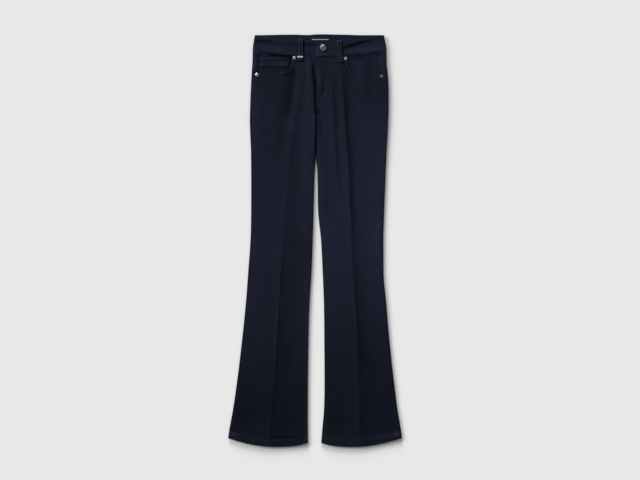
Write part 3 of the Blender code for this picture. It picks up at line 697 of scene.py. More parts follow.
for place, x in BACK_LOOPS.items():
    across = x + LOOP_WIDTH * np.linspace(-0.5, 0.5, 7)
    grid = flat_strip(across, np.linspace(*BACK_LOOP_DOWN, 26), BACK_LOOP_LIFT)
    loop = lay(f"back_loop_{place}", grid, TRIM - BACK_LOOP_LIFT, denim, face_up=False)
    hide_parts(f"belt_loop_back_{place}")
    head, foot = BACK_LOOP_DOWN
    rows_sewn = [[(x + gap, head + 1), (x + gap, foot - 1)] for gap in (-3.2, 3.2)]
    thread = sew(f"back_loop_stitching_{place}", rows_sewn, level(BACK_LOOP_SEWN), proud=0.0)


# Woven label: a small bare ribbed tape, green with a pale lower stripe. It is sewn flat on the inner face of
# the back waistband, just under its top edge.
LABEL_X = (-8.0, 36.0)
LABEL_DOWN = (7.6, 12.5)
LABEL_CLOTH = 0.5
LABEL_STRIPE = 11.0  # the pale stripe starts here
STRIPE_BLUR = 0.00015
GREEN, PALE_GREEN = (0.001, 0.034, 0.021), (0.37, 0.60, 0.53)


def weave_tape(name, colour, tone, direction, specular, scale=700.0, stripe=None, more_look=None):
    """A ribbed woven tape of one colour, or with a stripe of another one from a distance down."""
    made, shader = finish(name, {"Roughness": 0.85, "Specular IOR Level": specular, **(more_look or {})})
    place = node(made, "TexCoord", {}, "Object")
    rib = waves(made, place, scale, direction)
    if stripe:
        start = (LENGTH / 2 - stripe[0]) * MM
        along = node(made, "SeparateXYZ", {"Vector": place}, "Y")
        below = ramp(made, along, 0.0, 1.0, start + STRIPE_BLUR, start - STRIPE_BLUR)
        colour = blend(made, below, colour, stripe[1])
    woven = tint(made, colour, ramp(made, rib, *tone))
    wire(shader, {"Base Color": woven, "Normal": bumps(made, rib, 0.4, 0.00008)})
    return made


tape = weave_tape("woven_label", GREEN, (0.8, 1.1), "Y", 0.02, stripe=(LABEL_STRIPE, PALE_GREEN))
label_top = inner_face + SEAM_GAP + LABEL_CLOTH
grid = flat_strip(np.linspace(*LABEL_X, 44), np.linspace(*LABEL_DOWN, 17), label_top)
label = lay("woven_label", grid, LABEL_CLOTH, tape, rounding=0.12)
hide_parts("waist_label")


# Fly zip: a navy woven tape with a row of small steel teeth down its middle. It is closed and sewn in under
# the fly, where the lapped left front hides it.
ZIP_X = (-14.0, 26.0)
ZIP_DOWN = (60.0, 182.0)
ZIP_TOP, ZIP_TAPE = 3.6, 0.6
ZIP_NAVY = (0.012, 0.013, 0.024)
ZIP_LOOK = {"Roughness": 0.8, "Sheen Weight": 0.05, "Sheen Roughness": 0.45}
ZIP_LOOK["Sheen Tint"] = (0.55, 0.62, 0.9, 1)
TOOTH_PITCH, TOOTH_SIDE = 2.0, 1.1
TOOTH = (3.4, 1.3, 1.1)  # across, along and through the tape
TOOTH_FLAT = 0.42  # the bead's sides are cut flat here

tape = weave_tape("zip_tape", ZIP_NAVY, (0.7, 1.2), "DIAGONAL", 0.2, scale=500.0, more_look=ZIP_LOOK)
grid = flat_strip(np.linspace(*ZIP_X, 21), np.linspace(*ZIP_DOWN, 62), ZIP_TOP)
zip_cloth = lay("zip_tape", grid, ZIP_TAPE, tape, rounding=0.12)
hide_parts("fly_zip")


def mottle_metal(name, roughness, scale, detail, dull, clean):
    """Bare metal mottled between two tones; also gives its shader and its mottling."""
    made, shader = finish(name, {"Roughness": roughness, "Specular IOR Level": 0.5, "Metallic": 1.0})
    spots = noise(made, node(made, "TexCoord", {}, "Object"), scale, detail)
    wire(shader, {"Base Color": blend(made, spots, dull, clean)})
    return made, shader, spots


steel = mottle_metal("zip_teeth", 0.35, 1500.0, 3.0, (0.18, 0.18, 0.19), (0.34, 0.34, 0.36))[0]
tooth_points, tooth_faces = bead(8, 5)
tooth_points = np.clip(tooth_points, -TOOTH_FLAT, TOOTH_FLAT) / (2 * TOOTH_FLAT) * TOOTH
teeth = []
for number, down in enumerate(np.arange(ZIP_DOWN[0] + 4, ZIP_DOWN[1] - 4, TOOTH_PITCH)):
    side = TOOTH_SIDE if number % 2 else -TOOTH_SIDE
    teeth.append(tooth_points + (sum(ZIP_X) / 2 + side, LENGTH / 2 - down, ZIP_TOP - ZIP_TAPE / 2))
zip_teeth = join("zip_teeth", np.array(teeth), tooth_faces, steel)


# Scoop-pocket facings: the denim that shows inside each pocket mouth. They lie a little below the front, and
# are level with it along the side seam, where one row of stitches holds them.
CREASE_POWER, CREASE_BEFORE, CREASE_AFTER = 1.6, 13.0, 7.0
HEM_STEP, HEM_STEP_RUN = 0.6, 3.0
FLY_LIFT, FLY_DIP, FLY_WIDTH, FLY_GROOVE, FLY_FADE = 0.6, 1.4, 38.0, 6.0, 16.0
BAND_FOOT, BAND_FOOT_DIP, BAND_FOOT_POWER = 39.0, 16.0, 3
FACING_DEPTH = {"right": 3.0, "left": 2.0}
FACING_AT_BAND, FACING_BAND_RUN = {"right": 0.9, "left": 0.5}, 11.0
FACING_REACH, FACING_TUCK = 122.0, 16.0
FACING_FLUSH, FACING_SLOPE, FACING_BAND_SLOPE = 8.0, 12.0, 26.0
FACING_NOTCH = 12.4
NOTCH_REACHES = (14.4, 14, 13.2, 12.8, 12.4, 11, 9, 7, 5)  # columns of the grid around the tuck's notch
MOUTH_FOOT = {"right": 99.5, "left": 104.5}
MOUTH_TOP, MOUTH_TURN, MOUTH_LEVEL = (107.0, 46.0), (103.0, 97.0), 60.0

# The soft folds of the fronts: from one end to the other, half-widths on the two sides, which are the
# wearer's right and left where a fold runs down, and height, minus for a trough.
FOLD = "x0 down0 x1 down1 before after height"
FOLDS = table(FOLD, (
    (-48, 80, -73, 250, 15, 6, -1.4),
    (-65, 190, -104, 350, 14, 8, -0.7),
    (42.5, 95, 61, 395, 15, 5.5, 1.5),
    (124, 60, 129, 225, 13, 12, 0.8),
    (30, 163, 6, 204, 7, 4, -0.7),
    (40, 178, 14, 226, 8, 6, 0.7),
    (-118, 560, -150, 720, 22, 22, 0.5),
    (132, 520, 165, 700, 22, 22, 0.5),
))
# Streaks of painted light and shade on the facings, laid out like the folds, with how much lighter, or minus
# for darker, in place of a height. Painted shadow lies under the mouth's curve and, on the right, along the
# band.
FACING_PAINTED_STREAKS = table(FOLD, (
    (-158, 66, -56, 66.5, 2.4, 2.4, -0.6),
    (-174, 41, -114, 51, 3.5, 3.5, 0.55),
    (-172, 61, -66, 61.5, 4, 4, 0.45),
    (110, 52, 162, 47, 3, 3, 0.7),
    (-160, 48, -159, 100, 3, 3, 0.35),
    (-149.5, 40, -149.5, 112, 2.4, 2.4, -0.15),
    (140, 55, 142, 125, 8, 8, -0.28),
    (177, 45, 182, 95, 4, 3, 0.16),
))
# Painted shadow on the facings under the pocket mouth's curve, and painted shade just below the band.
MOUTH_PAINTED_SHADOW = {"right": 0.8, "left": 0.75}
MOUTH_PAINTED_SHADOW_RUN = {"right": 7.5, "left": 3.6}
MOUTH_PAINTED_SHADOW_FROM = {"right": 80.0, "left": 88.0}
BAND_SHADE, BAND_SHADE_RUN = {"right": 0.75, "left": 0.0}, 5.5


def band_foot(x):
    return BAND_FOOT + BAND_FOOT_DIP * (1 - waist_share(x) ** BAND_FOOT_POWER)


def fold_height(x, down, folds=FOLDS):
    """The soft folds at a point, each fading out at its ends and, unevenly, to its two sides."""
    total = 0.0
    for fold in folds:
        run_x, run_down = fold.x1 - fold.x0, fold.down1 - fold.down0
        length = math.hypot(run_x, run_down)
        along = ((x - fold.x0) * run_x + (down - fold.down0) * run_down) / length**2
        away = ((x - fold.x0) * run_down - (down - fold.down0) * run_x) / length
        width = np.where(away < 0, fold.before, fold.after)
        total = total + fold.height * (ease(4 * along) * ease(4 * (1 - along))) * bell(away, width)
    return total


def leg_height(leg, x, down):
    """A leg's form across: it rises from its near edge to the crease and sags before its far edge."""
    inside, side = inside_x(leg, down), side_x(leg, down)
    start, end = np.minimum(inside, side) + ROLL, np.maximum(inside, side) - ROLL
    crease = read(CREASES, leg, down)
    near, flat, top, belly, far = (
        read(PROFILES, field, down) for field in ("near", "flat", "crease", "belly", "far")
    )
    share = np.clip((x - start) / (crease - start), 0.0, 1.0)
    before = near + (flat - near) * ease(3 * share) + (top - flat) * share**3
    share = np.clip((end - x) / (end - crease), 0.0, 1.0)
    after = far + (belly - far) * ease(2 * share)
    after = after + (top - belly) * np.clip(2 * share - 1, 0.0, 1.0) ** CREASE_POWER
    return np.where(x < crease, before, after)


def crease_lift(leg, x, down):
    """The narrow ridge of the pressed crease."""
    away = x - read(CREASES, leg, down)
    width = np.where(away < 0, CREASE_BEFORE, CREASE_AFTER)
    return read(CREASES, leg + "_lift", down) * np.exp(-np.abs(away) / width)


def fly_height(leg, x, down):
    """At the fly the left front stands up, and the right front sinks just before it runs under."""
    away = (x - inside_x("left", down)) * outward(leg)
    if leg == "left":
        height = FLY_LIFT * ease((FLY_WIDTH - away) / FLY_WIDTH)
    else:
        height = -FLY_DIP * bell(np.maximum(away, 0.0), FLY_GROOVE)
    return height * ease((CROTCH - down) / FLY_FADE)


def front_height(leg, x, down):
    """Height of the front's outer face, between the leg's two curled edges."""
    hem = ease((HEM_DEPTH - (hem_line(leg, x) - down)) / HEM_STEP_RUN)
    folds = (fold_height(x, down) + crease_lift(leg, x, down)) * (1 - hem)
    return leg_height(leg, x, down) + fly_height(leg, x, down) + folds + HEM_STEP * hem


def facing_height(leg, x, down):
    """The pocket facing: below the uncreased front's face, but level with it along the side seam."""
    reach = np.abs(side_x(leg, down) - x)
    below_band = ease((down - band_foot(x)) / FACING_BAND_RUN)
    depth = FACING_AT_BAND[leg] + (FACING_DEPTH[leg] - FACING_AT_BAND[leg]) * below_band
    depth = depth * ease((reach - FACING_FLUSH) / (FACING_SLOPE + FACING_BAND_SLOPE * (1 - below_band)))
    return front_height(leg, x, down) - crease_lift(leg, x, down) - depth


def mouth(leg):
    """The pocket mouth as (x, down) points, on one curve and a level run to the side seam."""
    foot = MOUTH_FOOT[leg]
    corners = np.array([MOUTH_TOP, MOUTH_TURN, (MOUTH_TURN[0] - 5, foot), (MOUTH_LEVEL, foot)])
    line = []
    for t in np.linspace(0, 1, 61):
        line.append(np.array([(1 - t) ** 3, 3 * (t * (1 - t) ** 2), 3 * (t * t * (1 - t)), t**3]) @ corners)
    line = np.array(line + [(reach, foot) for reach in np.linspace(MOUTH_LEVEL, -4, 60)[1:]])
    return np.stack([side_x(leg, line[:, 1]) - outward(leg) * line[:, 0], line[:, 1]], axis=1)


def mouth_away(leg, x, down):
    """How far places are from the pocket mouth, leaving out the last points of its level run."""
    away = np.full(np.shape(x), 1e6)
    for point in mouth(leg)[:-6]:
        away = np.minimum(away, (x - point[0]) ** 2 + (down - point[1]) ** 2)
    return np.sqrt(away)


def facing_light_and_shade(leg, x, down):
    """How light the facing is: painted shadow under the mouth and below the band, and painted streaks."""
    reach = np.abs(side_x(leg, down) - x)
    mouth_shadow_share = ease((reach - MOUTH_PAINTED_SHADOW_FROM[leg]) / 10) * bell(mouth_away(leg, x, down), MOUTH_PAINTED_SHADOW_RUN[leg])
    near_band = bell(down - band_foot(x), BAND_SHADE_RUN) * ease((reach - 36) / 8)
    streaks = fold_height(x, down, FACING_PAINTED_STREAKS)
    return (1 - MOUTH_PAINTED_SHADOW[leg] * mouth_shadow_share) * (1 - BAND_SHADE[leg] * near_band) * (1 + streaks)


def facing_foot(leg, x):
    """The facing is tucked below the mouth, but for a notch beside the side seam."""
    reach = np.abs(side_x(leg, MOUTH_FOOT[leg]) - x)
    return MOUTH_FOOT[leg] - 0.5 + FACING_TUCK * ease((reach - FACING_NOTCH) / 1.6)


for leg in ("right", "left"):
    reaches = np.concatenate([np.linspace(FACING_REACH, 16, 50), NOTCH_REACHES])
    columns = [("reach", reach) for reach in reaches] + SIDE_CURL
    rows = rows_between(lambda x: band_foot(x) + 2 * SEAM_GAP, partial(facing_foot, leg), 30)
    grid = panel(leg, columns, rows, facing_height)
    facing = lay(f"facing_{leg}", grid, CLOTH, denim, painted_light_and_tone=facing_light_and_shade(leg, grid[..., 0], grid[..., 1]))
    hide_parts(f"pocket_facing_{leg}")
    down = np.linspace(band_foot(side_x(leg, 40.0)) + 4, MOUTH_FOOT[leg] - 8, 24)
    rows_sewn = [np.stack([side_x(leg, down) - outward(leg) * 7.0, down], axis=1)]
    thread = sew(f"facing_stitching_{leg}", rows_sewn, partial(facing_height, leg))


# Coin pocket: a small denim patch sewn on the right facing. Only its turned top edge, sewn twice, and a
# little of the patch below it show in the mouth.
COIN_REACH = (20.0, 97.0)
COIN_DOWN = (68.0, 112.0)
COIN_HEM, COIN_HEM_STEP = 16.5, 0.55
COIN_HEM_ROWS = (2.0, 13.5)
# Streaks of painted light and shade on the coin pocket.
COIN_PAINTED_STREAKS = table(FOLD, (
    (-143, 62, -143, 92, 3.5, 3.5, 0.5),
    (-124, 50, -124, 106, 14, 14, -0.22),
))


def coin_height(leg, x, down):
    """The coin pocket: its turned top edge stands a little prouder than the rest."""
    hem = COIN_HEM_STEP * ease((COIN_DOWN[0] + COIN_HEM - down) / 1.6)
    return front_height(leg, x, down) - FACING_DEPTH[leg] + CLOTH + SEAM_GAP + hem


columns = [("reach", reach) for reach in np.linspace(COIN_REACH[1], COIN_REACH[0], 36)]
rows = rows_between(level(COIN_DOWN[0]), level(COIN_DOWN[1]), 34)
grid = panel("right", columns, rows, coin_height)
x, down = grid[..., 0], grid[..., 1]
from_hem = down - COIN_DOWN[0] - COIN_HEM
# Painted light on the turned top edge; painted shade under it, along its top and by the mouth's curve.
painted_light_and_tone = np.where(from_hem < -1.0, 1.14, 0.86 - 0.5 * bell(from_hem, 2.6))
curve = ease((x - side_x("right", 90.0) - MOUTH_PAINTED_SHADOW_FROM["right"]) / 10)
painted_light_and_tone = painted_light_and_tone * (1 - MOUTH_PAINTED_SHADOW["right"] * curve * bell(mouth_away("right", x, down), 6))
painted_light_and_tone = painted_light_and_tone * (1 - 0.45 * ease((COIN_DOWN[0] + 2.6 - down) / 1.2))
painted_light_and_tone = painted_light_and_tone * (1 + fold_height(x, down, COIN_PAINTED_STREAKS))
coin = lay("coin_patch", grid, CLOTH, denim, painted_light_and_tone=painted_light_and_tone)
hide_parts("coin_pocket")
near, far = (side_x("right", 80.0) + reach for reach in COIN_REACH)
top, foot = COIN_DOWN
rows_sewn = [[(near + 1, top + gap), (far - 1, top + gap)] for gap in COIN_HEM_ROWS]
rows_sewn += [[(at, top + 1), (at, foot - 1)] for at in (near + 2.0, near + 7.0, far - 2.0)]
thread = sew("coin_stitching", rows_sewn, partial(coin_height, "right"))


# Fronts: the two front legs, of the same denim. The scoop mouths are cut away and turned under, the left
# front laps over the right at the fly, each leg has a pressed crease, and the hems are turned up and sewn.
FLY_LAP, FLY_LAP_END, FLY_SHORT = 5.0, 186.0, 0.02
FLY_STITCH = ((27.5, 60), (25.5, 90), (21.5, 122), (17.5, 142), (12.5, 158), (7.5, 168), (3.5, 172))
FLY_ROWS = (0.0, 5.5)
FLY_TACKS = ((9.3, 172.8), (8.0, 204.5))  # middles of the short dense bar-tacks
FRONT_ROW_SPACING, FRONT_COLUMNS = 2.9, 34
CREASE_RUN = {"right": 6.0, "left": 12.5}
# Painted highlights on crease ridges, an edge and pocket lips, painted shade on right-hand edges, lighter
# hem.
CREASE_PAINTED_HIGHLIGHT, EDGE_PAINTED_HIGHLIGHT, EDGE_PAINTED_SHADE, HEM_LIGHTER = 0.3, 0.6, 0.6, 0.22
LIP_PAINTED_HIGHLIGHT, LIP_HIGHLIGHT_RUN = {"right": 2.6, "left": 0.35}, {"right": 1.5, "left": 2.2}
NEAR_ROLL, NEAR_ROLL_RUN, NEAR_ROLL_FROM = 0.8, 8.0, {"right": 122.0, "left": CROTCH}
RIPPLE = 0.07
ROPE, ROPE_PITCH = 0.12, 13.0
LIP, LIP_RUN, LIP_LEVEL = 0.6, 6.0, 0.3

# Small folds: the rise beside the fly, the pull of its stitches, and drag lines at the crotch and the knees.
DRAGS = table(FOLD, (
    (-12.5, 62, -2, 215, 14, 5, 0.8),
    (13.5, 84, 15.5, 158, 4, 3.5, 0.9),
    (27.5, 60, 24, 150, 4, 3, -0.4),
    (25, 128, 9, 180, 4, 3, -0.5),
    (21, 190, 2, 209, 3.5, 3, -0.8),
    (33, 186, 9, 216, 4, 4, 0.5),
    (-56, 60, -50, 122, 6, 6, -0.6),
    (-130, 112, -92, 110, 5, 5, 0.5),
    (-36, 205, -50, 330, 7, 5, 0.3),
    (118, 235, 128, 380, 12, 12, 0.35),
    (-150, 225, -128, 400, 14, 14, 0.35),
    (-60, 560, -16, 610, 12, 12, -0.5),
    (-150, 600, -108, 640, 12, 10, 0.35),
    (36, 590, 88, 640, 12, 10, 0.35),
    (112, 640, 172, 610, 14, 12, -0.4),
    (50, 985, 53, 1064, 9, 9, -0.5),
    (-60, 960, -66, 1064, 12, 12, -0.35),
    (170, 900, 186, 1064, 14, 12, 0.35),
))
# Streaks of painted light and shade on the fronts.
FRONT_PAINTED_STREAKS = table(FOLD, (
    (-55, 45, -72, 225, 19, 9, -0.4),
    (-82, 112, -96, 240, 8, 8, -0.14),
    (-70, 150, -102, 335, 13, 8, -0.2),
    (-40, 90, -68, 290, 5, 5, 0.16),
    (-25, 90, -28, 430, 16, 16, 0.24),
    (-4, 190, -3.5, 310, 3, 2.5, 0.3),
    (22, 215, 32, 520, 12, 16, -0.18),
    (-7.5, 66, 0.5, 142, 3.4, 4, -0.88),
    (0, 108, 2, 228, 3.6, 2.8, -0.88),
    (-12, 54, -9, 78, 3, 4, 0.5),
    (5.6, 196, -0.6, 368, 4.2, 3, -0.95),
    (-2, 203, 16, 203, 4.5, 4.5, -0.85),
    (-22.5, 50, -19, 150, 6, 8, 0.26),
    (46.5, 100, 57, 320, 5, 6, -0.32),
    (54, 260, 68, 450, 6, 6, -0.18),
    (84, 215, 101, 385, 2, 7.5, -0.2),
    (77, 58, 81, 118, 7, 12, -0.3),
    (10.5, 85, 12, 165, 3.5, 3.5, 0.22),
    (25.5, 84, 20, 168, 3.4, 3.4, -0.36),
    (25, 140, 7, 178, 3, 3, -0.45),
    (26, 146, 12, 198, 4, 4, 0.28),
    (34, 172, 6, 214, 2.6, 2.6, -0.3),
    (8, 78, 13, 140, 5, 4, 0.22),
    (-2, 172.4, 18, 172, 1.4, 1.4, -0.5),
    (12.5, 205, 13.5, 275, 2.8, 2.8, -0.55),
    (7, 200, 6.5, 300, 2.6, 2.6, 0.25),
    (138, 80, 142, 190, 8, 8, -0.14),
    (104, 105, 137, 105, 1.5, 1.5, 0.8),
    (146, 107, 176, 106, 2.4, 2.4, 0.3),
    (110, 1067, 152, 1066.5, 1.8, 1.8, 0.45),
    (154, 1061, 190, 1058.5, 1.8, 1.8, 0.3),
    (76, 66, 92, 84, 2.4, 2.4, 0.25),
    (-29.8, 44, -29.8, 76, 2.2, 2.8, -0.75),
    (-52, 69, -24, 69, 1.6, 1.6, -0.6),
    (75, 44, 76.8, 82, 2.2, 3.2, -0.55),
    (51, 73.4, 77, 73.4, 1.6, 1.6, -0.55),
    (-238, 1042.5, -196, 1049, 1.6, 1.6, -0.5),
    (152, 1062, 194, 1056, 3, 3, 0.35),
    (-136, 1062.5, -26, 1066.5, 2.4, 2.4, -0.4),
    (98, 1066.5, 192, 1064.5, 1.8, 1.8, 0.4),
))
# How much painted shade darkens the line just past each crease, on its side turned from the light, and, as a
# share, the cloth beyond it.
CREASE_PAINTED_SHADE = table("down right left shade", (
    (0, 0, 0, 0),
    (90, 0, 0.1, 0),
    (130, 0.12, 0.42, 0),
    (160, 0.1, 0.54, 0),
    (230, 0.02, 0.54, 0),
    (300, 0, 0.56, 0),
    (340, 0.06, 0.45, 0),
    (440, 0.06, 0.54, 0),
    (500, 0.02, 0.4, 0.02),
    (570, 0.12, 0.28, 0.1),
    (640, 0.32, 0.28, 0.15),
    (700, 0.18, 0.28, 0.2),
    (770, 0.25, 0.25, 0.22),
    (834, 0.2, 0.22, 0.24),
    (900, 0.15, 0.05, 0.14),
    (966, 0.32, 0.02, 0.1),
    (1033, 0.08, 0.14, 0.3),
    (LENGTH, 0, 0, 0.2),
))
# Spots of painted light, or minus for painted shade, on the colour around them.
PAINTED_SPOTS = table("x down half_x half_down strength", (
    (-32, 560, 32, 44, -0.2),
    (-184, 1006, 32, 30, -0.3),
    (56, 1026, 24, 30, -0.3),
    (182, 1010, 22, 40, -0.12),
    (-72, 97, 12, 7, -0.4),
    (-82, 104, 12, 7, -0.35),
    (-59, 91, 4.5, 6, -0.35),
    (143, 84, 9, 14, -0.12),
    (40, 100, 18, 30, -0.08),
    (-152, 205, 12, 45, 0.16),
    (164, 540, 4.5, 55, 0.3),
    (-160, 150, 6, 70, 0.12),
    (-12, 240, 9, 60, 0.12),
    (-213, 1057, 10, 7, 0.4),
    (-216, 1057.5, 4.5, 4, 0.9),
    (-34, 1070, 8, 8, -0.45),
    (-29.5, 1072, 3, 3.5, 1.3),
    (-119, 1062, 4, 5, 0.4),
    (214, 1056, 9, 7, 0.5),
    (217, 1056, 4.5, 4, 1.1),
    (112, 1080, 7, 7, 0.35),
    (12, 1070, 10, 12, 0.2),
))


def right_lap(leg, down):
    """The right front runs on under the left one as far as the fly goes, then stops short of it."""
    lap = FLY_LAP * ease((FLY_LAP_END - down) / 8)
    short = FLY_SHORT * ease((down - FLY_LAP_END + 4) / 8) * ease((CROTCH + 12 - down) / 12)
    return inside_x(leg, down) + lap - short


def cut_mouth(leg, grid):
    """Faces of the front's grid that the mouth takes away; the points beside it are moved onto its line."""
    line = mouth(leg)
    reach = (side_x(leg, grid[..., 1]) - grid[..., 0]) * outward(leg)
    line_reach = (side_x(leg, line[:, 1]) - line[:, 0]) * outward(leg)
    taken = (grid[..., 1] < MOUTH_FOOT[leg]) & (reach < np.interp(grid[..., 1], line[:, 1], line_reach))
    corners = [taken[:-1, :-1], taken[:-1, 1:], taken[1:, 1:], taken[1:, :-1]]
    gone = sum(corner.astype(int) for corner in corners) >= 3
    beside_gone, beside_kept = np.zeros(taken.shape, bool), np.zeros(taken.shape, bool)
    for row in (0, 1):
        for column in (0, 1):
            part = (slice(row, row + gone.shape[0]), slice(column, column + gone.shape[1]))
            beside_gone[part] |= gone
            beside_kept[part] |= ~gone
    for row, column in np.argwhere(beside_kept & (beside_gone | taken)):
        nearest = line[np.argmin(np.linalg.norm(line - grid[row, column, :2], axis=1))]
        grid[row, column, 1] = nearest[1]
        if reach[row, column] > ROLL:
            grid[row, column, 0] = nearest[0]
            grid[row, column, 2] = relief(leg, *nearest)
    return gone


def relief(leg, x, down):
    """The front's outer face with its small relief: drag lines, rounded edges, ripples and a roped hem."""
    height = front_height(leg, x, down)
    hem = HEM_DEPTH - (hem_line(leg, x) - down)
    height = height + fold_height(x, down, DRAGS) * (1 - ease(hem / HEM_STEP_RUN))
    from_near = np.maximum(x - (np.minimum(inside_x(leg, down), side_x(leg, down)) + ROLL), 0)
    height = height - NEAR_ROLL * ease((down - NEAR_ROLL_FROM[leg]) / 30) * np.exp(-from_near / NEAR_ROLL_RUN)
    ripple = np.sin(x / 31 + down / 47) * np.sin(down / 29 - x / 53) + 0.6 * np.sin(down / 17 + x / 23 + 1.3)
    height = height + RIPPLE * ripple * ease((down - 125) / 60)
    rope = np.sin((x + 0.8 * down) / ROPE_PITCH * 2 * math.pi)
    return height + ROPE * rope * ease(hem / 3) * ease((HEM_DEPTH - hem) / 3)


def lip(leg, x, down):
    """The mouth's turned edge is thicker than the cloth beside it."""
    curve = LIP_LEVEL + (1 - LIP_LEVEL) * ease((np.abs(side_x(leg, down) - x) - 62) / 20)
    return LIP * curve * bell(mouth_away(leg, x, down), LIP_RUN)


def painted_light_and_tone_of(leg, x, down):
    """Painted shade past the crease and on right-hand edges; painted highlights on ridge, lips, edge; lighter
    hem.
    """
    side = np.maximum(inside_x(leg, down), side_x(leg, down))
    past = x - read(CREASES, leg, down)
    share = np.clip(past / (side - ROLL - read(CREASES, leg, down)), 0.0, 1.0)
    fade = 1 - share**2 if leg == "right" else 1 - ease(share / 0.75)
    painted_light_and_tone = 1 - read(CREASE_PAINTED_SHADE, "shade", down) * ease(past / 3) * fade
    line = ease((past + 2.0) / 3) * bell(np.maximum(past, 0), CREASE_RUN[leg])
    painted_light_and_tone = painted_light_and_tone * (1 - read(CREASE_PAINTED_SHADE, leg, down) * line)
    ridge_highlight = bell(past + 2.6, 1.6) * ease((down - 640) / 80) * ease((1070 - down) / 60)
    painted_light_and_tone = painted_light_and_tone * (1 + CREASE_PAINTED_HIGHLIGHT * ridge_highlight)
    if leg == "right":
        painted_light_and_tone = painted_light_and_tone * (1 + EDGE_PAINTED_HIGHLIGHT * bell(side - x - 4.5, 2) * ease((down - 640) / 90))
    painted_light_and_tone = painted_light_and_tone * (1 - EDGE_PAINTED_SHADE * ease((3.4 - (side - x)) / 2) * (0.55 + 0.45 * ease((112 - down) / 20)))
    curve = ease((np.abs(side_x(leg, down) - x) - 72) / 10)
    painted_light_and_tone = painted_light_and_tone * (1 + LIP_PAINTED_HIGHLIGHT[leg] * curve * bell(mouth_away(leg, x, down), LIP_HIGHLIGHT_RUN[leg]))
    painted_light_and_tone = painted_light_and_tone * (1 + HEM_LIGHTER * ease((HEM_DEPTH - (hem_line(leg, x) - down)) / 1.5))
    for painted_spot in PAINTED_SPOTS:
        spot = ((x - painted_spot.x) / painted_spot.half_x) ** 2 + ((down - painted_spot.down) / painted_spot.half_down) ** 2
        painted_light_and_tone = painted_light_and_tone * (1 + painted_spot.strength * np.exp(-spot))
    return np.maximum(painted_light_and_tone * (1 + np.maximum(fold_height(x, down, FRONT_PAINTED_STREAKS), -0.92)), 0.05)


def moved_aside(line, away):
    """The same line moved sideways, to the right of its direction when down points downwards."""
    run = np.gradient(line, axis=0)
    run /= np.linalg.norm(run, axis=1, keepdims=True)
    return line + away * np.stack([-run[:, 1], run[:, 0]], axis=1)


for leg in ("right", "left"):
    rows = leg_rows(leg, lambda x: band_foot(x) + SEAM_GAP, FRONT_ROW_SPACING)
    edge = right_lap if leg == "right" else inside_x
    grid = panel(leg, leg_columns(FRONT_COLUMNS), rows, relief, inside=edge)
    gone = cut_mouth(leg, grid)
    x, down = grid[..., 0], grid[..., 1]
    grid[..., 2] += lip(leg, x, down)
    front = lay(f"front_{leg}", grid, CLOTH, denim, painted_light_and_tone=painted_light_and_tone_of(leg, x, down), cut_away=gone)
    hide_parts(f"front_panel_{leg}")
    rows_sewn = [hem_row(leg, np.linspace(0.0, 1.0, 90), 3.2, 4, 2.2)]
    rows_sewn += [moved_aside(mouth(leg)[4:-8], outward(leg) * gap) for gap in TWIN_ROWS]
    if leg == "left":
        rows_sewn += [[(x - inset, down - inset / 2) for x, down in FLY_STITCH] for inset in FLY_ROWS]
        for middle, down in FLY_TACKS:
            rows_sewn += [[(x, down - 1.2), (x, down + 1.2)] for x in np.arange(middle - 4, middle + 4, 0.8)]

    def outer_face(x, down):
        return relief(leg, x, down) + lip(leg, x, down)

    thread = sew(f"front_stitching_{leg}", rows_sewn, outer_face)


# Front waistband: two strips of doubled denim, sewn along both edges over the tops of the fronts. The left
# end laps over the right one, where the button holds it, and is sewn across.
BAND_TOP, BAND_TOP_DIP, BAND_TOP_POWER = 2.0, 12.5, 1.5
BAND_PROUD = 0.5
BAND_ROW = 2.4
TAB_END, UNDERLAP = 4.8, 29.0
TAB_LIFT, TAB_LIFT_RUN = 1.1, 20.0
TAB_DIP, TAB_DIP_RUN = 1.2, 30.0
BAND_ENDS = {"right": (TAB_END + UNDERLAP, -156.0), "left": (TAB_END, 180.0)}

# Soft folds pressed into the band where it was creased, and streaks of painted light and shade on it.
BAND_FOLDS = table(FOLD, (
    (66, 33, 150, 8, 4.5, 9, 0.8),
    (84, 44, 186, 26, 5, 6, 0.4),
    (-175, 11, -98, 15, 4, 6, 0.6),
    (-120, 18, -35, 21, 4, 6, 0.4),
    (-165, 30, -100, 34, 6, 6, 0.35),
    (-34, 20, 12, 20, 5, 5, 0.3),
))
BAND_PAINTED_STREAKS = table(FOLD, (
    (60, 38, 160, 10, 4, 4, -0.65),
    (140, 12, 178, 8, 4, 4, -0.25),
    (66, 48, 196, 31, 4.5, 4.5, 0.42),
    (100, 41, 216, 33, 4, 5, 0.4),
    (80, 50.5, 122, 49.5, 1.8, 1.8, -0.4),
    (70, 29, 128, 17, 7, 7, -0.25),
    (140, 39.5, 198, 37.5, 2, 2, 0.35),
    (-186, 14, -98, 18.5, 5, 4.5, -0.5),
    (-120, 21, -35, 25.5, 4, 4, -0.16),
    (-186, 33, -70, 41, 5, 6, 0.4),
    (-110, 37, -30, 40, 4, 5, 0.1),
    (-38, 25, 10, 25, 4.5, 4.5, -0.5),
    (2, 47, 64, 47, 4.5, 5.5, 0.4),
    (-8, 53.6, 74, 53.6, 1.4, 1.4, 0.9),
    (0, 46, 22, 46, 7, 7, 0.4),
    (78, 52.2, 170, 46.5, 1.5, 1.5, 0.5),
    (90, 47, 126, 33, 1.8, 1.8, 0.35),
    (-29.8, -2, -29.8, 72, 2.2, 2.6, -0.75),
    (70.5, -4, 75.5, 76, 2.2, 3.2, -0.6),
    (6.2, 2, 6.2, 64, 2.2, 1.6, 0.8),
    (20, 25, 36, 25, 5, 5, -0.3),
    (78, 21, 112, 16, 2.2, 2.2, 0.25),
))


def band_top(x):
    return BAND_TOP + BAND_TOP_DIP * (1 - waist_share(x) ** BAND_TOP_POWER)


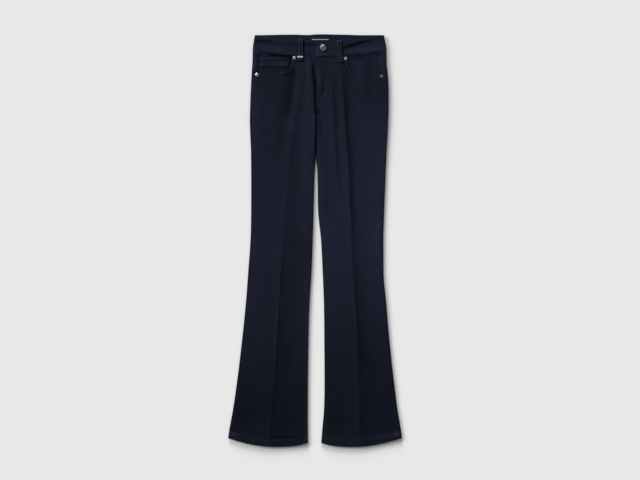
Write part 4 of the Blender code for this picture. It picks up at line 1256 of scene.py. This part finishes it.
def band_height(leg, x, down):
    """The front waistband: its left end rises over the right end, which sinks under it."""
    proud = BAND_PROUD * ease((1 - waist_share(x)) / 0.25)
    height = read(PROFILES, "far", down) + proud + fold_height(x, down, BAND_FOLDS)
    if leg == "left":
        return height + TAB_LIFT * ease((TAB_END + UNDERLAP + TAB_LIFT_RUN - x) / TAB_LIFT_RUN)
    return height - TAB_DIP * ease((x - TAB_END + TAB_DIP_RUN) / TAB_DIP_RUN)


for leg, (end, edge) in BAND_ENDS.items():
    columns = [("x", x) for x in np.linspace(end, edge, 100)] + SIDE_CURL
    grid = panel(leg, columns, rows_between(band_top, band_foot, 26), band_height)
    painted_light_and_tone = 1 + fold_height(grid[..., 0], grid[..., 1], BAND_PAINTED_STREAKS)
    band = lay(f"front_waistband_{leg}", grid, BAND, denim, painted_light_and_tone=painted_light_and_tone, rounding=0.55)
    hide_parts(f"waistband_front_{leg}")
    across = np.linspace(end + 2.0 * outward(leg), edge, 120)
    edges = (band_top(across) + BAND_ROW, band_foot(across) - BAND_ROW)
    rows_sewn = [np.stack([across, line], axis=1) for line in edges]
    if leg == "left":
        rows_sewn.append([(TAB_END + 2.2, band_top(TAB_END) + 3), (TAB_END + 2.2, band_foot(TAB_END) - 3)])
    thread = sew(f"front_waistband_stitching_{leg}", rows_sewn, partial(band_height, leg))


# Front belt loops: folded strips of denim with two rows of stitches, tacked over the waistband at both ends
# and slightly arched off it between them.
LOOP_CLOTH, LOOP_ARCH, LOOP_EDGE_DROP = 1.15, 0.5, 0.3
FRONT_LOOPS = {"right": ((-37.6, 11.0), (-37.6, 67.0)), "left": ((63.3, 14.0), (67.6, 71.4))}
LOOP_ROWS, LOOP_TACK = (-3.3, 3.3), 4.6
loop_under = float(read(PROFILES, "far", 0.0)) + BAND_PROUD + SEAM_GAP + 0.15


def loop_arch(along):
    return LOOP_ARCH * np.sqrt(np.sin(math.pi * np.clip(along, 0, 1)))


for leg, ((head_x, head), (foot_x, foot)) in FRONT_LOOPS.items():
    along = np.linspace(0, 1, 28)[:, None]
    across = np.linspace(-0.5, 0.5, 11)[None, :]
    x = head_x + (foot_x - head_x) * along + LOOP_WIDTH * across
    down = head + (foot - head) * along + 0.0 * across
    height = loop_under + LOOP_CLOTH + loop_arch(along) - LOOP_EDGE_DROP * (2 * np.abs(across)) ** 4
    # Painted highlights along the loop's folded edges, at its ends and over its lower part; its middle is
    # darker.
    loop_painted_highlights = 1.0 + 0.9 * bell(np.abs(across) - 0.36, 0.09) - 0.2 * (np.abs(across) < 0.2)
    loop_painted_highlights = loop_painted_highlights * (1 + 0.9 * ease((along - 0.92) / 0.04) + 0.9 * ease((0.06 - along) / 0.03))
    loop_painted_highlights = loop_painted_highlights * (1 + 0.35 * bell(along - 0.72, 0.12))
    loop = lay(f"front_loop_{leg}", np.stack([x, down, height], axis=-1), LOOP_CLOTH, denim, painted_light_and_tone=loop_painted_highlights)
    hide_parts(f"belt_loop_front_{leg}")
    slope = (foot_x - head_x) / (foot - head)
    rows_sewn = []
    for gap in LOOP_ROWS:
        rows_sewn.append([(head_x + gap + slope * 1.5, head + 1.5), (foot_x + gap - slope * 1.5, foot - 1.5)])
    for at in (head + 2, foot - 2, foot - 3.2):
        middle = head_x + slope * (at - head)
        rows_sewn.append([(middle - LOOP_TACK, at), (middle + LOOP_TACK, at)])

    def loop_height(x, down):
        return loop_under + LOOP_CLOTH + loop_arch((down - head) / (foot - head)) - 0.02

    thread = sew(f"front_loop_stitching_{leg}", rows_sewn, loop_height)


# Loop tab: a narrow bare white woven tape across the foot of the right front loop. Its ends are turned under
# the loop and sewn in with it.
TAB_X = (-46.8, -32.0)
TAB_DOWN = (56.05, 59.85)
TAB_CLOTH = 0.6

tape = weave_tape("white_tape", (0.42, 0.44, 0.48), (0.85, 1.05), "X", 0.05)
tab_top = loop_under + LOOP_CLOTH + LOOP_ARCH + SEAM_GAP + TAB_CLOTH
grid = flat_strip(np.linspace(*TAB_X, 18), np.linspace(*TAB_DOWN, 8), tab_top)
tab = lay("white_loop_tab", grid, TAB_CLOTH, tape, rounding=0.15)
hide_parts("loop_tab")


# Button and rivets: a dark antique shank button on the waistband's left end, and a silver rivet at both ends
# of each pocket mouth. They are pressed from sheet metal, so each is turned about an upright axis.
BUTTON_TONES, BUTTON_ROUGHNESS = ((0.06, 0.06, 0.065), (0.30, 0.30, 0.32)), (0.52, 0.34)
# Painted light and shade: each rivet's silver is lighter or darker by how the light falls on it.
RIVET_PAINTED_LIGHT = {"right_inner": 0.66, "right_outer": 1.3, "left_inner": 0.55, "left_outer": 0.28}
SILVER_DULL, SILVER_CLEAN = np.array((0.40, 0.41, 0.47)), np.array((0.69, 0.70, 0.78))


def plate(solid, metal):
    """Gives a solid its metal."""
    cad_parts[solid].data.materials.clear()
    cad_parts[solid].data.materials.append(metal)


antique, shader, spots = mottle_metal("antique_button", 0.38, 900.0, 5.0, *BUTTON_TONES)
wire(shader, {"Roughness": ramp(antique, spots, *BUTTON_ROUGHNESS)})
plate("waist_button", antique)

for place, rivet_brightness in RIVET_PAINTED_LIGHT.items():
    tones = (SILVER_DULL * rivet_brightness, SILVER_CLEAN * rivet_brightness)
    plate(f"rivet_{place}", mottle_metal(f"silver_{place}", 0.42, 1200.0, 4.0, *tones)[0])
